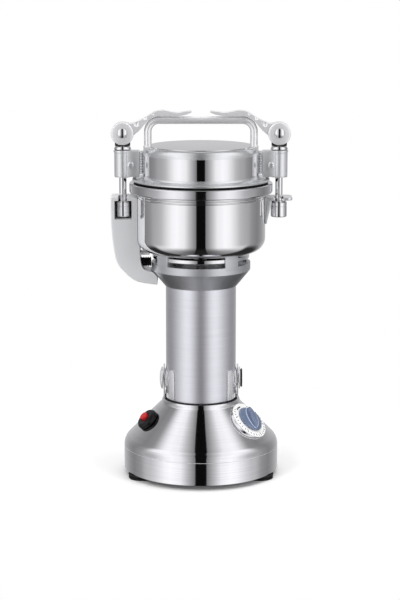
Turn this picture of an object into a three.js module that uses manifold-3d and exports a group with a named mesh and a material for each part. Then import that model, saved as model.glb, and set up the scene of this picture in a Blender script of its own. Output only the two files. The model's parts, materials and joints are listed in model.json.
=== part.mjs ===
// Swing-type grain and spice mill: a tilting head (motor column, grinding bowl, clamped lid)
// on a conical base.  Millimetres, +Z up, floor at z = 0, tilt axis along X, front towards -Y.
import * as THREE from 'three';
import { mergeVertices } from 'three/addons/utils/BufferGeometryUtils.js';
import Module from 'manifold-3d';

const wasm = await Module();
wasm.setup();

// ---------------------------------------------------------------- driving dimensions

const GAP = 0.3;                     // clearance between pieces that touch on the real mill
const RUNNING = 0.6;                 // clearance around pieces that turn or slide

// base
const baseRadius = 83.5;
const skirtBottom = 5.3;             // lower edge of the skirt above the floor
const creaseHeight = 36.7;           // where skirt and cone would meet without their fillet
const shoulderFillet = 15;
const neckRadius = 42.8;             // outside of the short upright lip on top of the cone
const neckBore = 39.3;
const lipHeight = 3.5;
const trimHeight = 1.4;
const shellWall = 1.6;
const neckTop = 82.4;                // top of the black trim ring round the column
const floorPlate = 2.2;
const footRadius = 15;
const footInset = 12.84;             // foot centres inside the skirt
const footAzimuth = 63.07;           // degrees from the front and from the back
const glandRadius = 8;
const glandHeight = 20;

// tilting yoke
const pivotAboveNeck = 20.6;
const pivotPin = 5;
const earThickness = 1.6;
const earHalfWidth = 8.5;
const earCrown = 15.6;               // rounded top of an ear above the pivot
const earFoot = 12;                  // flange that carries the ear inside the base
const earDepth = 41;                 // from the pivot down to the flange
const capRadius = 12;
const capThickness = 3.6;
const bossThickness = 0.6;           // pivot boss outside the column's widest point

// motor column
const columnRadius = 37.7;
const columnWall = 1.8;
const columnLength = 124;            // from the neck to the start of the collar taper
const saddleThickness = 1;
const saddleHalfAngle = 42;          // degrees either side of the tilt axis
const saddleRise = 9;                // top edge of a saddle above the pivot

// collar, vent disc and lugs under the bowl
const collarRadius = 53;
const collarTaper = 16.5;
const collarBand = 8.5;
const deckThickness = 4;
const lugWidth = 16;
const lugDepth = 9;
const lugAzimuth = 38.5;             // degrees from the front, the first of four
const ventGap = 11.5;                // from the collar rim to the bowl's underside
const ventDiscRadius = 51.8;
const ventDiscThickness = 4.3;

// bowl
const bowlRadius = 68.7;
const bowlDepth = 63.5;              // from the underside to the rim band
const bowlCorner = 15;
const bowlWall = 1.5;
const rimRadius = bowlRadius + 7.6;
const rimHeight = 10.2;

// lid
const lidRadius = bowlRadius - 6.9;
const lidHeight = 37;
const lidEdge = 6;
const lidWall = 1.4;
const flangeRadius = bowlRadius + 4.3;
const flangeHeight = 1.9;
const flareHeight = 6;
const gasketHeight = 1.5;
const gasketWidth = 10.5;

// carrying handle on the lid
const handleRod = 4;
const handleBend = 12;
const handleRise = 26.6;             // from the lid's top to the middle of the bar
const handleInset = 5.5;             // leg centres inside the lid's edge

// lid clamps
const clampOffset = 14.3;            // rod axis outside the bowl wall
const rodRadius = 3.9;
const strapRadius = rodRadius + 5.1;
const strapHeight = 28.6;
const strapAboveFlange = 1.5;
const washerHeight = 3.3;
const seatRadius = rodRadius + 4.3;
const seatHeight = 3.7;
const camRadius = 12;
const camEccentricity = 0.8;
const camSlot = 2 * (rodRadius + GAP); // slot in a lever for its rod
const camWidth = camSlot + 9.6;
const eyeRadius = rodRadius + 1.7;
const camPin = 2.8;
const camPinHead = 5;
const leverTipGap = 10.2;            // lever tip to the mill's middle plane
const nutHeight = 17;
const leftNutRadius = rodRadius + 3.1;
const rightNutRadius = rodRadius + 4.7;
const nutBelowShelf = 1.6;
const shelfThickness = 3.2;
const shelfBelowRim = 5;
const bracketBeyondClamp = 14;       // outermost edge of the right-hand bracket from its rod
const shelfHalfWidth = 13;
const wedgeHeight = 28;
const gussetThickness = 2.4;

// side handle, which also houses the lid switch
const handleBeyondClamp = 12.4;      // outer face from the left-hand rod
const handleWidth = 30;
const handleWall = 2.2;
const handleBevel = 4;
const handleTail = 94.5;             // from the handle's top down to its open tail
const handleTailInset = 6.5;         // the open tail ends this far inside the collar's rim
const handleWindow = 2 * leftNutRadius + 4.2; // opening in front of the left-hand nut
const conduitRadius = 5.4;

// motor
const shaftRadius = 5;
const statorOuter = 35.4;
const statorInner = 21;
const statorLength = 56;
const armatureRadius = 20.2;
const fanRadius = 33;
const bearingRadius = 11;
const bearingWidth = 7;
const bladeReach = 60;
const bladeWidth = 20;
const bladeThickness = 2.6;
const bladeBend = 24;                // from the shaft's middle to the bend in a blade
const spacerHeight = 10;
const threadRadius = 4;

// controls on the cone
const dialAzimuth = 60;              // degrees from the front towards +X
const dialRadius = 22;
const dialToLip = 0.15;              // from the neck lip down the cone to the dial's edge
const dialThickness = 1.6;
const padRise = 0.8;                 // flat pad under the dial above the cone at its middle
const dialBore = 4.6;
const timerBodyRadius = 17;
const timerBodyDepth = 30;
const knobRadius = 15;
const knobHeight = 12;
const knobStem = 3.4;
const knobGripHalf = 4.8;
const breakerAzimuth = -69;
const breakerNutRadius = 12;
const breakerToLip = 12.27;
const breakerNutHeight = 6;
const breakerThread = 7.4;
const breakerBodyRadius = 9;
const breakerBodyDepth = 28;
const resetButtonRadius = 4.4;
const resetTravel = 2.5;

// facets round a turned piece, by its size; a cutter is rounder than what it clears
const WIDE = 28;
const MIDDLE = 16;
const SMALL = 12;
const CUTTER = 44;

// ---------------------------------------------------------------- levels and places

const pivotZ = neckTop + pivotAboveNeck;
const lipTop = neckTop - trimHeight - GAP;
const lipFoot = lipTop - lipHeight;
const coneAngle = Math.atan2(baseRadius - neckRadius, lipFoot - creaseHeight);
const dialRadiusOnCone = neckRadius + (dialRadius + dialToLip) * Math.sin(coneAngle);
const breakerRadiusOnCone = neckRadius + (breakerNutRadius + breakerToLip) * Math.sin(coneAngle);
const tailRadius = Math.hypot(columnRadius, pivotAboveNeck);
const columnBottom = neckTop + GAP;
const columnTop = neckTop + columnLength;
const collarRim = columnTop + collarTaper + collarBand;
const bowlBottom = collarRim + ventGap;
const rimBottom = bowlBottom + bowlDepth;
const rimTop = rimBottom + rimHeight;
const gasketTop = rimTop + GAP + gasketHeight;
const lidBottom = gasketTop + GAP;
const lidTop = lidBottom + lidHeight;
const barZ = lidTop + handleRise;
const legX = lidRadius - handleInset;
const clampX = bowlRadius + clampOffset;
const handleReach = clampX + handleBeyondClamp;
const bracketReach = clampX + bracketBeyondClamp;
const strapBottom = lidBottom + flangeHeight + strapAboveFlange;
const strapTop = strapBottom + strapHeight;
const seatBottom = strapTop + GAP + 0.6 + washerHeight + GAP;
const camCentreZ = seatBottom + 0.9 + GAP + camRadius;
const pinZ = camCentreZ + camEccentricity;
const shelfTop = rimBottom - shelfBelowRim;
const nutTop = shelfTop - shelfThickness - nutBelowShelf;
const earInner = columnRadius + GAP + bossThickness + GAP;

// ---------------------------------------------------------------- solids

function toSolid(geometry) {
  const bare = geometry.clone();
  bare.deleteAttribute('normal');
  bare.deleteAttribute('uv');
  const merged = mergeVertices(bare, 1e-4);
  const position = merged.attributes.position;
  const index = merged.index.array;
  const triangles = [];
  let volume = 0;
  const a = new THREE.Vector3();
  const b = new THREE.Vector3();
  const c = new THREE.Vector3();
  for (let i = 0; i < index.length; i += 3) {
    const [p, q, r] = [index[i], index[i + 1], index[i + 2]];
    if (p === q || q === r || r === p) continue;
    triangles.push(p, q, r);
    a.fromBufferAttribute(position, p);
    b.fromBufferAttribute(position, q);
    c.fromBufferAttribute(position, r);
    volume += a.dot(b.cross(c));
  }
  if (volume < 0) triangles.reverse();
  return new wasm.Manifold(new wasm.Mesh({
    numProp: 3,
    vertProperties: new Float32Array(position.array),
    triVerts: new Uint32Array(triangles),
  }));
}

function toGeometry(solid) {
  const mesh = solid.getMesh();
  const geometry = new THREE.BufferGeometry();
  geometry.setAttribute('position', new THREE.BufferAttribute(new Float32Array(mesh.vertProperties), 3));
  geometry.setIndex(new THREE.BufferAttribute(new Uint32Array(mesh.triVerts), 1));
  geometry.computeVertexNormals();
  return geometry;
}

function united(first, ...rest) {
  return rest.reduce((whole, piece) => whole.add(piece), first);
}

function cut(first, ...tools) {
  return tools.reduce((whole, tool) => whole.subtract(tool), first);
}

// Points of an arc, angles in degrees.
function arc(x, y, radius, from, to, steps) {
  const points = [];
  for (let i = 0; i <= steps; i += 1) {
    const angle = THREE.MathUtils.degToRad(from + (to - from) * i / steps);
    points.push([x + radius * Math.cos(angle), y + radius * Math.sin(angle)]);
  }
  return points;
}

// A solid of revolution about Z from [radius, height] points.  A profile that leaves the axis
// free is closed on itself.
function turned(points, segments = WIDE) {
  const profile = points.map(([radius, height]) => new THREE.Vector2(radius, height));
  const onAxis = points[0][0] === 0 && points[points.length - 1][0] === 0;
  if (!onAxis) profile.push(profile[0].clone());
  return toSolid(new THREE.LatheGeometry(profile, segments).rotateX(Math.PI / 2));
}

function ring(inner, outer, bottom, top, segments = WIDE) {
  return turned([[inner, bottom], [outer, bottom], [outer, top], [inner, top]], segments);
}

function disc(radius, bottom, top, segments = WIDE) {
  return turned([[0, bottom], [radius, bottom], [radius, top], [0, top]], segments);
}

function block(x0, x1, y0, y1, z0, z1) {
  const geometry = new THREE.BoxGeometry(x1 - x0, y1 - y0, z1 - z0);
  return toSolid(geometry.translate((x0 + x1) / 2, (y0 + y1) / 2, (z0 + z1) / 2));
}

// A cylinder along X or Y through the given middle.
function bar(radius, length, axis, x, y, z, segments = SMALL) {
  const geometry = new THREE.CylinderGeometry(radius, radius, length, segments);
  if (axis === 'x') geometry.rotateZ(Math.PI / 2);
  return toSolid(geometry.translate(x, y, z));
}

// An outline of [x, z] points, extruded across Y about the middle plane.
function plate(points, width, bevel = 0) {
  const shape = new THREE.Shape(points.map(([x, z]) => new THREE.Vector2(x, z)));
  const geometry = new THREE.ExtrudeGeometry(shape, {
    depth: width - 2 * bevel,
    bevelEnabled: bevel > 0,
    bevelThickness: bevel,
    bevelSize: bevel,
    bevelOffset: -bevel,
    bevelSegments: 2,
    steps: 1,
  });
  return toSolid(geometry.translate(0, 0, bevel - width / 2).rotateX(Math.PI / 2));
}

// A smooth line through a few points.
function smooth(points, divisions) {
  const curve = new THREE.CatmullRomCurve3(points.map(([x, z]) => new THREE.Vector3(x, z, 0)));
  return curve.getPoints(divisions).map((point) => [point.x, point.y]);
}

// ---------------------------------------------------------------- materials and nodes

function finish(color, roughness, metalness) {
  return new THREE.MeshStandardMaterial({ color, roughness, metalness });
}

const polished = () => finish(0xd8d9dc, 0.08, 1);
const brushed = () => finish(0xc4c5c8, 0.3, 1);
const satin = () => finish(0xcfd0d4, 0.4, 1);
const chrome = () => finish(0xe2e3e6, 0.05, 1);
const steel = () => finish(0xa9abae, 0.35, 1);
const black = () => finish(0x121213, 0.45, 0);
const rubber = () => finish(0x17171a, 0.8, 0);

const mill = new THREE.Group();
const base = new THREE.Group();
const head = new THREE.Group();
const rotor = new THREE.Group();
const lid = new THREE.Group();
mill.add(base, head);
head.add(rotor, lid);

function addNode(parent, name, solid, material) {
  const mesh = new THREE.Mesh(toGeometry(solid), material);
  mesh.name = name;
  parent.add(mesh);
  return mesh;
}

const sides = [
  { name: 'left', sign: -1 },
  { name: 'right', sign: 1 },
];

// ---------------------------------------------------------------- base

// Outline of skirt, shoulder fillet and cone, shifted inwards by a depth.
function coneOutline(depth) {
  const angle = THREE.MathUtils.radToDeg(coneAngle);
  const radius = shoulderFillet - depth;
  const centreZ = creaseHeight - shoulderFillet * Math.tan(coneAngle / 2);
  const shoulder = arc(baseRadius - shoulderFillet, centreZ, radius, 0, angle, 4);
  const neck = neckRadius - depth;
  const slide = depth * Math.tan(coneAngle / 2);
  return [...shoulder, [neck, lipFoot - slide]];
}

// A group whose Z axis stands on the cone, at an azimuth and a distance from the mill's axis.
function onCone(azimuth, radius) {
  const group = new THREE.Group();
  const around = THREE.MathUtils.degToRad(azimuth);
  const height = lipFoot - (radius - neckRadius) / Math.tan(coneAngle);
  group.position.set(radius * Math.sin(around), -radius * Math.cos(around), height);
  group.rotation.set(Math.PI / 2 - coneAngle, 0, around, 'ZYX');
  group.updateMatrixWorld(true);
  return group;
}

function placed(solid, group) {
  return solid.transform(group.matrixWorld.elements);
}

const dialPlace = onCone(dialAzimuth, dialRadiusOnCone);
const breakerPlace = onCone(breakerAzimuth, breakerRadiusOnCone);
base.add(dialPlace, breakerPlace);
function baseShell() {
  const outer = coneOutline(0);
  const inner = coneOutline(shellWall);
  const profile = [
    [baseRadius, skirtBottom],
    ...outer,
    [neckRadius, lipTop],
    [neckBore, lipTop],
    [neckBore, lipTop - shellWall],
    ...inner.reverse(),
    [baseRadius - shellWall, skirtBottom],
  ];
  const inside = [[0, skirtBottom], [baseRadius, skirtBottom], ...coneOutline(shellWall), [0, lipFoot]];
  const coneBody = turned(inside, WIDE);
  const pad = placed(disc(dialRadius + 0.6, -8, padRise), dialPlace).subtract(coneBody);
  const shell = turned(profile, WIDE).add(pad);
  const earSlots = sides.map(({ sign }) => {
    const near = sign * (earInner - GAP);
    const far = sign * (earInner + earThickness + GAP);
    return block(Math.min(near, far), Math.max(near, far),
      -earHalfWidth - GAP, earHalfWidth + GAP, lipFoot - 8, lipTop + 1);
  });
  const dialHole = placed(disc(dialBore + GAP, -8, 8, SMALL), dialPlace);
  const breakerHole = placed(disc(breakerThread + GAP, -8, 8, SMALL), breakerPlace);
  const glandHole = bar(glandRadius + GAP, 12, 'y', 0, baseRadius, glandHeight);
  return cut(shell, ...earSlots, dialHole, breakerHole, glandHole);
}

function neckTrim() {
  const trim = ring(neckBore, neckRadius, neckTop - trimHeight, neckTop, WIDE);
  const slots = block(-earInner - earThickness - GAP, earInner + earThickness + GAP,
    -earHalfWidth - GAP, earHalfWidth + GAP, neckTop - 5, neckTop + 5);
  return trim.subtract(slots);
}

function bottomPlate() {
  const top = skirtBottom + GAP + floorPlate;
  return disc(baseRadius - shellWall - GAP, skirtBottom + GAP, top, WIDE);
}

function foot() {
  const top = skirtBottom - GAP;
  return turned([
    [0, 0], [footRadius - 1.4, 0], [footRadius, 1.2], [footRadius, 2.2],
    [footRadius - 2.2, 2.9], [footRadius - 1, 3.8], [footRadius - 1.6, top], [0, top],
  ], MIDDLE);
}

function yokeEar(sign) {
  const foot = pivotZ - earDepth;
  const inner = sign * earInner;
  const outer = sign * (earInner + earThickness);
  const toe = sign * (earInner + earFoot);
  const section = plate([
    [inner, foot], [toe, foot], [toe, foot + earThickness], [outer, foot + earThickness],
    [outer, pivotZ + earCrown + 1], [inner, pivotZ + earCrown + 1],
  ], 4 * earHalfWidth);
  const front = [
    [-earHalfWidth, foot - 1],
    [earHalfWidth, foot - 1],
    ...arc(0, pivotZ + earCrown - earHalfWidth, earHalfWidth, 0, 180, 10),
  ];
  const crowned = plate(front, 3 * toe * sign).rotate([0, 0, 90]);
  const hole = bar(pivotPin + RUNNING, 12, 'x', (inner + outer) / 2, 0, pivotZ);
  return section.intersect(crowned).subtract(hole);
}

function breakerBody() {
  const neckTopLevel = breakerNutHeight - 1.2;
  return turned([
    [0, -breakerBodyDepth], [breakerBodyRadius, -breakerBodyDepth], [breakerBodyRadius, -shellWall - 1],
    [breakerThread, -shellWall - 1], [breakerThread, neckTopLevel],
    [resetButtonRadius + RUNNING, neckTopLevel], [resetButtonRadius + RUNNING, -6], [0, -6],
  ], SMALL);
}

function breakerNut() {
  const bore = breakerThread + GAP;
  const lip = resetButtonRadius + RUNNING;
  return turned([
    [bore, 1], [breakerNutRadius, 1], [breakerNutRadius, breakerNutHeight - 1.5],
    [breakerNutRadius - 2, breakerNutHeight + 0.6], [lip, breakerNutHeight + 0.6],
    [lip, breakerNutHeight - 0.8], [bore, breakerNutHeight - 0.8],
  ], SMALL);
}

function resetButton() {
  const foot = -6 + resetTravel + RUNNING;
  const shoulder = breakerNutHeight - 2 - resetTravel;
  const top = breakerNutHeight + 4.2;
  return turned([
    [0, foot], [resetButtonRadius - 1, foot], [resetButtonRadius - 1, shoulder],
    [resetButtonRadius, shoulder], [resetButtonRadius, top - 1], [resetButtonRadius - 1, top],
    [0, top],
  ], SMALL);
}

function timerDial() {
  return ring(dialBore, dialRadius, padRise + GAP, padRise + GAP + dialThickness, WIDE);
}

function timerBody() {
  const top = -shellWall - 1.6;
  return turned([
    [0, -timerBodyDepth], [timerBodyRadius, -timerBodyDepth], [timerBodyRadius, top - 4], [12, top - 4],
    [12, top], [knobStem + 0.8, top], [knobStem + 0.8, -12], [0, -12],
  ], MIDDLE);
}

function timerKnob() {
  const bottom = padRise + GAP + dialThickness + RUNNING;
  const skirt = turned([
    [0, bottom - 12], [knobStem, bottom - 12], [knobStem, bottom], [knobRadius, bottom],
    [knobRadius, bottom + 1.6], [knobRadius - 1.5, bottom + 3.2], [0, bottom + 4],
  ], MIDDLE);
  const leaf = [];
  for (const side of [1, -1]) {
    for (let i = 0; i < 10; i += 1) {
      const t = i / 10;
      const turn = Math.PI * t;
      leaf.push([side * (knobRadius - 1.2) * Math.cos(turn), side * knobGripHalf * Math.sin(turn)]);
    }
  }
  const shape = new THREE.Shape(leaf.map(([x, y]) => new THREE.Vector2(x, y)));
  const grip = new THREE.ExtrudeGeometry(shape, {
    depth: knobHeight - 5.5,
    bevelEnabled: true,
    bevelThickness: 1.6,
    bevelSize: 1.6,
    bevelOffset: -1.6,
    bevelSegments: 2,
  });
  return skirt.add(toSolid(grip.translate(0, 0, bottom + 2.6)));
}

function powerGland() {
  const length = 6;
  const outside = baseRadius - 0.2;
  const sleeve = bar(glandRadius, length, 'y', 0, outside - length / 2, glandHeight);
  return sleeve.subtract(bar(glandRadius / 2, length + 2, 'y', 0, outside - length / 2, glandHeight));
}

function buildBase() {
  addNode(base, 'base_shell', baseShell(), brushed());
  addNode(base, 'neck_trim', neckTrim(), black());
  addNode(base, 'bottom_plate', bottomPlate(), steel());
  const turn = THREE.MathUtils.degToRad(footAzimuth);
  const footX = (baseRadius - footInset) * Math.sin(turn);
  const footY = (baseRadius - footInset) * Math.cos(turn);
  for (const [row, y] of [['front', -footY], ['rear', footY]]) {
    for (const { name, sign } of sides) {
      addNode(base, `foot_${row}_${name}`, foot(), rubber()).position.set(sign * footX, y, 0);
    }
  }
  for (const { name, sign } of sides) {
    addNode(base, `yoke_ear_${name}`, yokeEar(sign), polished());
  }
  addNode(dialPlace, 'timer_dial', timerDial(), finish(0xf4f4f2, 0.4, 0));
  addNode(dialPlace, 'timer_body', timerBody(), black());
  addNode(dialPlace, 'timer_knob', timerKnob(), finish(0x6f7f96, 0.25, 0));
  addNode(breakerPlace, 'breaker_body', breakerBody(), black());
  addNode(breakerPlace, 'breaker_nut', breakerNut(), black());
  addNode(breakerPlace, 'reset_button', resetButton(), finish(0xc01818, 0.35, 0));
  addNode(base, 'power_gland', powerGland(), rubber());
}

// ---------------------------------------------------------------- head: column and pivots

function motorColumn() {
  return ring(columnRadius - columnWall, columnRadius, columnBottom, columnTop + 6, WIDE);
}

const cableHole = 6;
const bearingSeatWall = 3;
const bearingBottom = pivotZ - 28;

// The column's rounded lower end, with the lower bearing's seat standing on its floor.
function columnTail() {
  const top = neckTop;
  const wall = columnWall;
  const edge = THREE.MathUtils.radToDeg(Math.atan2(-pivotAboveNeck, columnRadius));
  const floor = THREE.MathUtils.radToDeg(Math.acos(bearingRadius / tailRadius));
  const outer = arc(0, pivotZ, tailRadius, -90 + 2, edge, 6);
  const seat = bearingRadius + GAP;
  const inner = arc(0, pivotZ, tailRadius - wall, edge - 2, -floor + 14, 4);
  const seatTop = bearingBottom + bearingWidth;
  const seatFoot = pivotZ - Math.sqrt((tailRadius - wall) ** 2 - seat ** 2);
  const post = seat + bearingSeatWall;
  const postFoot = pivotZ - Math.sqrt((tailRadius - wall) ** 2 - post ** 2);
  const wallInside = inner.filter(([radius]) => radius > post + 2);
  const shell = turned([
    [0, outer[0][1]], ...outer, [columnRadius - wall, top], ...wallInside, [post, postFoot], [post, seatTop],
    [seat, seatTop], [seat, seatFoot], [0, seatFoot],
  ], WIDE);
  return shell.subtract(disc(cableHole, pivotZ - tailRadius - 2, seatFoot + 2, SMALL));
}

// A curved plate on the column round the tilt axis, with the boss and pin of the pivot.
function saddle(sign) {
  const reach = columnRadius + 10;
  const half = columnRadius * Math.sin(THREE.MathUtils.degToRad(saddleHalfAngle));
  const corner = 2.5;
  const low = neckTop + 1.2;
  const high = pivotZ + saddleRise;
  const bore = columnRadius + GAP;
  const sleeve = ring(bore, bore + saddleThickness, low, high, CUTTER);
  const window = plate([
    [-half, low], [half, low], [half, high - corner], ...arc(half - corner, high - corner, corner, 0, 90, 3),
    ...arc(-half + corner, high - corner, corner, 90, 180, 3),
  ], reach).rotate([0, 0, 90]).translate([sign * reach / 2, 0, 0]);
  const face = earInner - GAP;
  const length = face - columnRadius + 6;
  const boss = bar(capRadius, length, 'x', sign * (face - length / 2), 0, pivotZ, MIDDLE);
  const pinEnd = earInner + earThickness + GAP;
  const pinLength = pinEnd - bore;
  const pin = bar(pivotPin, pinLength, 'x', sign * (pinEnd - pinLength / 2), 0, pivotZ);
  const earRoom = block(Math.min(sign * face, sign * 60), Math.max(sign * face, sign * 60),
    -earHalfWidth - 1, earHalfWidth + 1, neckTop, high + 1);
  const solid = united(cut(sleeve.intersect(window), earRoom), boss, pin);
  return solid.subtract(disc(bore, neckTop - 2, pivotZ + 40, CUTTER));
}

function pivotCap(sign) {
  const inside = earInner + earThickness + 2 * GAP;
  const cap = turned([
    [0, 0], [capRadius, 0], [capRadius, 0.8], [capRadius - 1.2, capThickness - 1.2],
    [capRadius - 4.2, capThickness - 0.3], [0, capThickness],
  ], MIDDLE).rotate([0, 90, 0]);
  const turnedOut = sign > 0 ? cap : cap.rotate([0, 0, 180]);
  return turnedOut.translate([sign * inside, 0, 0]).translate([0, 0, pivotZ]);
}

// ---------------------------------------------------------------- head: collar, disc and bowl

const ventHoles = 6;
const ventHoleRadius = 5.5;

function lugs(radius, reach, width, bottom, top) {
  const rounds = [];
  for (let i = 0; i < 4; i += 1) {
    const lug = block(-width / 2, width / 2, -radius - 2, -radius + reach, bottom, top);
    rounds.push(lug.rotate([0, 0, lugAzimuth + 90 * i]));
  }
  const all = united(...rounds);
  return all.intersect(disc(radius, bottom - 1, top + 1, CUTTER));
}

function collar() {
  const deckTop = collarRim - 3;
  const deckFoot = deckTop - deckThickness;
  const seat = bearingRadius + GAP;
  const lowRadius = columnRadius + 1.1;
  const bandFoot = collarRim - collarBand;
  const body = turned([
    [columnRadius + GAP, columnTop - 0.5], [lowRadius, columnTop - 0.5],
    [collarRadius - 1.3, bandFoot - 1.4], [collarRadius, bandFoot], [collarRadius, collarRim],
    [collarRadius - 4, collarRim], [collarRadius - 4, deckTop], [seat, deckTop],
    [seat, deckFoot - 4], [seat + 4, deckFoot - 4], [seat + 4, deckFoot],
    [columnRadius + 4, deckFoot], [columnRadius + GAP, deckFoot - 4],
  ], WIDE);
  const place = columnRadius - ventHoleRadius - 5;
  const hole = disc(ventHoleRadius, deckTop - 20, deckTop + 5, 8).translate([place, 0, 0]);
  const holes = [];
  for (let i = 0; i < ventHoles; i += 1) {
    holes.push(hole.rotate([0, 0, 360 * (i + 0.5) / ventHoles]));
  }
  const joined = body.add(lugs(collarRadius, lugDepth, lugWidth, collarRim - 3.5, bowlBottom - GAP));
  return cut(joined, ...holes);
}

const discBottom = collarRim + 4.6;
const discTop = discBottom + ventDiscThickness;
const hubRadius = 20;

function ventDisc() {
  const plateBody = turned([
    [15, discBottom], [ventDiscRadius - 0.6, discBottom], [ventDiscRadius, discBottom + 0.6],
    [ventDiscRadius, discTop - 0.6], [ventDiscRadius - 0.6, discTop], [hubRadius, discTop],
    [hubRadius, bowlBottom - GAP], [15, bowlBottom - GAP],
  ], WIDE);
  const reach = lugDepth + 3 + RUNNING;
  const width = lugWidth + 2 * RUNNING;
  const room = lugs(collarRadius + 3, reach, width, discBottom - 2, discTop + 2);
  return plateBody.subtract(room);
}

const sealBore = 9;
const sealFlange = 14;

function bowl() {
  const outer = arc(bowlRadius - bowlCorner, bowlBottom + bowlCorner, bowlCorner, -90, 0, 4);
  const inner = arc(bowlRadius - bowlCorner, bowlBottom + bowlCorner, bowlCorner - bowlWall, 0, -90, 4);
  return turned([
    [sealBore, bowlBottom], ...outer, [bowlRadius, rimTop], [bowlRadius - bowlWall, rimTop], ...inner,
    [sealBore, bowlBottom + bowlWall],
  ], WIDE);
}

function bowlRim() {
  const edge = 1.6;
  return turned([
    [bowlRadius + GAP, rimBottom], [rimRadius - edge, rimBottom], [rimRadius, rimBottom + edge],
    [rimRadius, rimTop - edge], [rimRadius - edge, rimTop], [bowlRadius + GAP, rimTop],
  ], WIDE);
}

// ---------------------------------------------------------------- head: clamp anchors and side handle

function clampBracket() {
  const near = bowlRadius - 9;
  const shelfBottom = shelfTop - shelfThickness;
  const wedge = plate([
    [near, shelfTop], [bowlRadius + 6.2, shelfTop], [bowlRadius + 6.2, shelfBottom - 2],
    [bowlRadius + 0.9, shelfTop - wedgeHeight], [near, shelfTop - wedgeHeight],
  ], 2 * shelfHalfWidth);
  const pocket = block(bowlRadius + 2.2, bowlRadius + 20, -shelfHalfWidth + gussetThickness,
    shelfHalfWidth - gussetThickness, shelfTop - wedgeHeight - 2, shelfBottom);
  const shelf = block(near, bracketReach, -shelfHalfWidth, shelfHalfWidth, shelfBottom, shelfTop);
  const tabInside = bracketReach - 2.4;
  const tab = block(tabInside, bracketReach, -shelfHalfWidth, shelfHalfWidth, shelfBottom - 2, shelfTop);
  const rodHole = disc(rodRadius + RUNNING, shelfBottom - 5, shelfTop + 5, SMALL).translate([clampX, 0, 0]);
  const slot = block(clampX - rodRadius - RUNNING, clampX + rodRadius + RUNNING, -shelfHalfWidth - 1, 0,
    shelfBottom - 5, shelfTop + 5);
  const solid = united(cut(wedge, pocket), shelf, tab);
  return cut(solid, rodHole, slot, disc(bowlRadius + GAP, shelfTop - 60, rimBottom, CUTTER));
}

// A round nut whose bore takes the threaded end of a clamp rod.
function cylinderNut(radius) {
  const bore = rodRadius + GAP;
  const bottom = nutTop - nutHeight;
  return turned([
    [0, bottom], [radius - 1, bottom], [radius, bottom + 1], [radius, nutTop - 1], [radius - 1, nutTop],
    [bore, nutTop], [bore, bottom + 1.6], [0, bottom + 1.6],
  ], SMALL);
}

const tailX = collarRadius - handleTailInset;
const handleTop = shelfTop + 1;

// The handle's side view; a positive inset gives the hollow.
function handleOutline(inset) {
  const top = handleTop;
  const out = -handleReach + inset;
  const into = -bowlRadius + 4 - inset;
  const foot = top - handleTail;
  const low = foot + inset;
  const tail = inset > 0 ? -tailX + 8 : -tailX;
  const outer = smooth([
    [out, top - 24], [out + 1.6, top - 46], [out + 5.6, foot + 26], [out + 14, foot + 14],
    [out + 27, foot + 4 + inset * 0.5], [-tailX, low],
  ], 14);
  const inner = smooth([
    [-tailX, low + 13 - 2 * inset], [into + 6, foot + 16 - inset], [into + 1.6, foot + 21 - inset * 0.5],
    [into, top - 62], [into, top - 46],
  ], 10);
  const end = inset > 0 ? [[tail, low], [tail, low + 13 - 2 * inset]] : [];
  return [[out, top - inset], ...outer, ...end, ...inner, [into, top - inset]];
}

const conduitZ = collarRim - 0.6;

function sideHandle() {
  const top = handleTop;
  const lintelFoot = top - shelfThickness;
  const floor = nutTop - nutHeight - 1.4;
  const shell = plate(handleOutline(0), handleWidth, handleBevel);
  const inside = plate(handleOutline(handleWall), handleWidth - 2 * handleWall);
  const lower = inside.subtract(block(-120, 0, -40, 40, floor - handleWall, top + 5));
  const upper = inside.intersect(block(-120, 0, -40, 40, floor, lintelFoot));
  const windowLeft = -clampX + 0.5 - handleWindow / 2;
  const window = block(windowLeft, windowLeft + handleWindow, -handleWidth, 0, floor, lintelFoot);
  const slotHalf = rodRadius + RUNNING;
  const slot = block(-clampX - slotHalf, -clampX + slotHalf, -handleWidth, 0, shelfTop - 6, top + 1);
  const rodHole = disc(slotHalf, shelfTop - 6, top + 1, SMALL).translate([-clampX, 0, 0]);
  const conduitHole = bar(conduitRadius + GAP, 20, 'x', -bowlRadius, 0, conduitZ);
  const tongue = block(-bowlRadius + 3, -ventDiscRadius - 3, -handleWidth / 2 + 6, handleWidth / 2 - 6,
    bowlBottom - 3.5, bowlBottom + 8);
  const tunnel = disc(bowlRadius + GAP, bowlBottom + bowlCorner, top + 1, CUTTER);
  const cornerRoom = turned([
    [0, bowlBottom - GAP],
    ...arc(bowlRadius - bowlCorner, bowlBottom + bowlCorner, bowlCorner + GAP, -90, 0, 10),
    [bowlRadius + GAP, bowlBottom + bowlCorner + 1], [0, bowlBottom + bowlCorner + 1],
  ], CUTTER);
  const collarRoom = turned([
    [0, columnTop - 4], [columnRadius + 2, columnTop - 4], [columnRadius + 2, columnTop - 0.5],
    [collarRadius + 0.6, collarRim - collarBand - 0.8], [collarRadius + 0.6, collarRim], [0, collarRim],
  ], CUTTER);
  const solid = cut(shell, lower, upper, window, slot, rodHole, conduitHole);
  return cut(solid.add(tongue), tunnel, cornerRoom, collarRoom);
}

function switchConduit() {
  const from = -bowlRadius + 1.2;
  const to = -collarRadius - GAP;
  const body = bar(conduitRadius, to - from, 'x', (from + to) / 2, 0, conduitZ);
  return body.subtract(bar(conduitRadius - 1.4, to - from + 2, 'x', (from + to) / 2, 0, conduitZ));
}

function interlockSwitch() {
  const floor = nutTop - nutHeight - 1.4 - handleWall;
  const box = block(-clampX - 3.5, -clampX + 6.5, -9, 9, floor - 24, floor - 3);
  const plunger = block(-clampX, -clampX + 3, -3, 3, floor - 4, floor - 1);
  return box.add(plunger);
}

// ---------------------------------------------------------------- head: motor

const statorBottom = pivotZ + 12;
const brushZ = statorBottom - 11;

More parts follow.
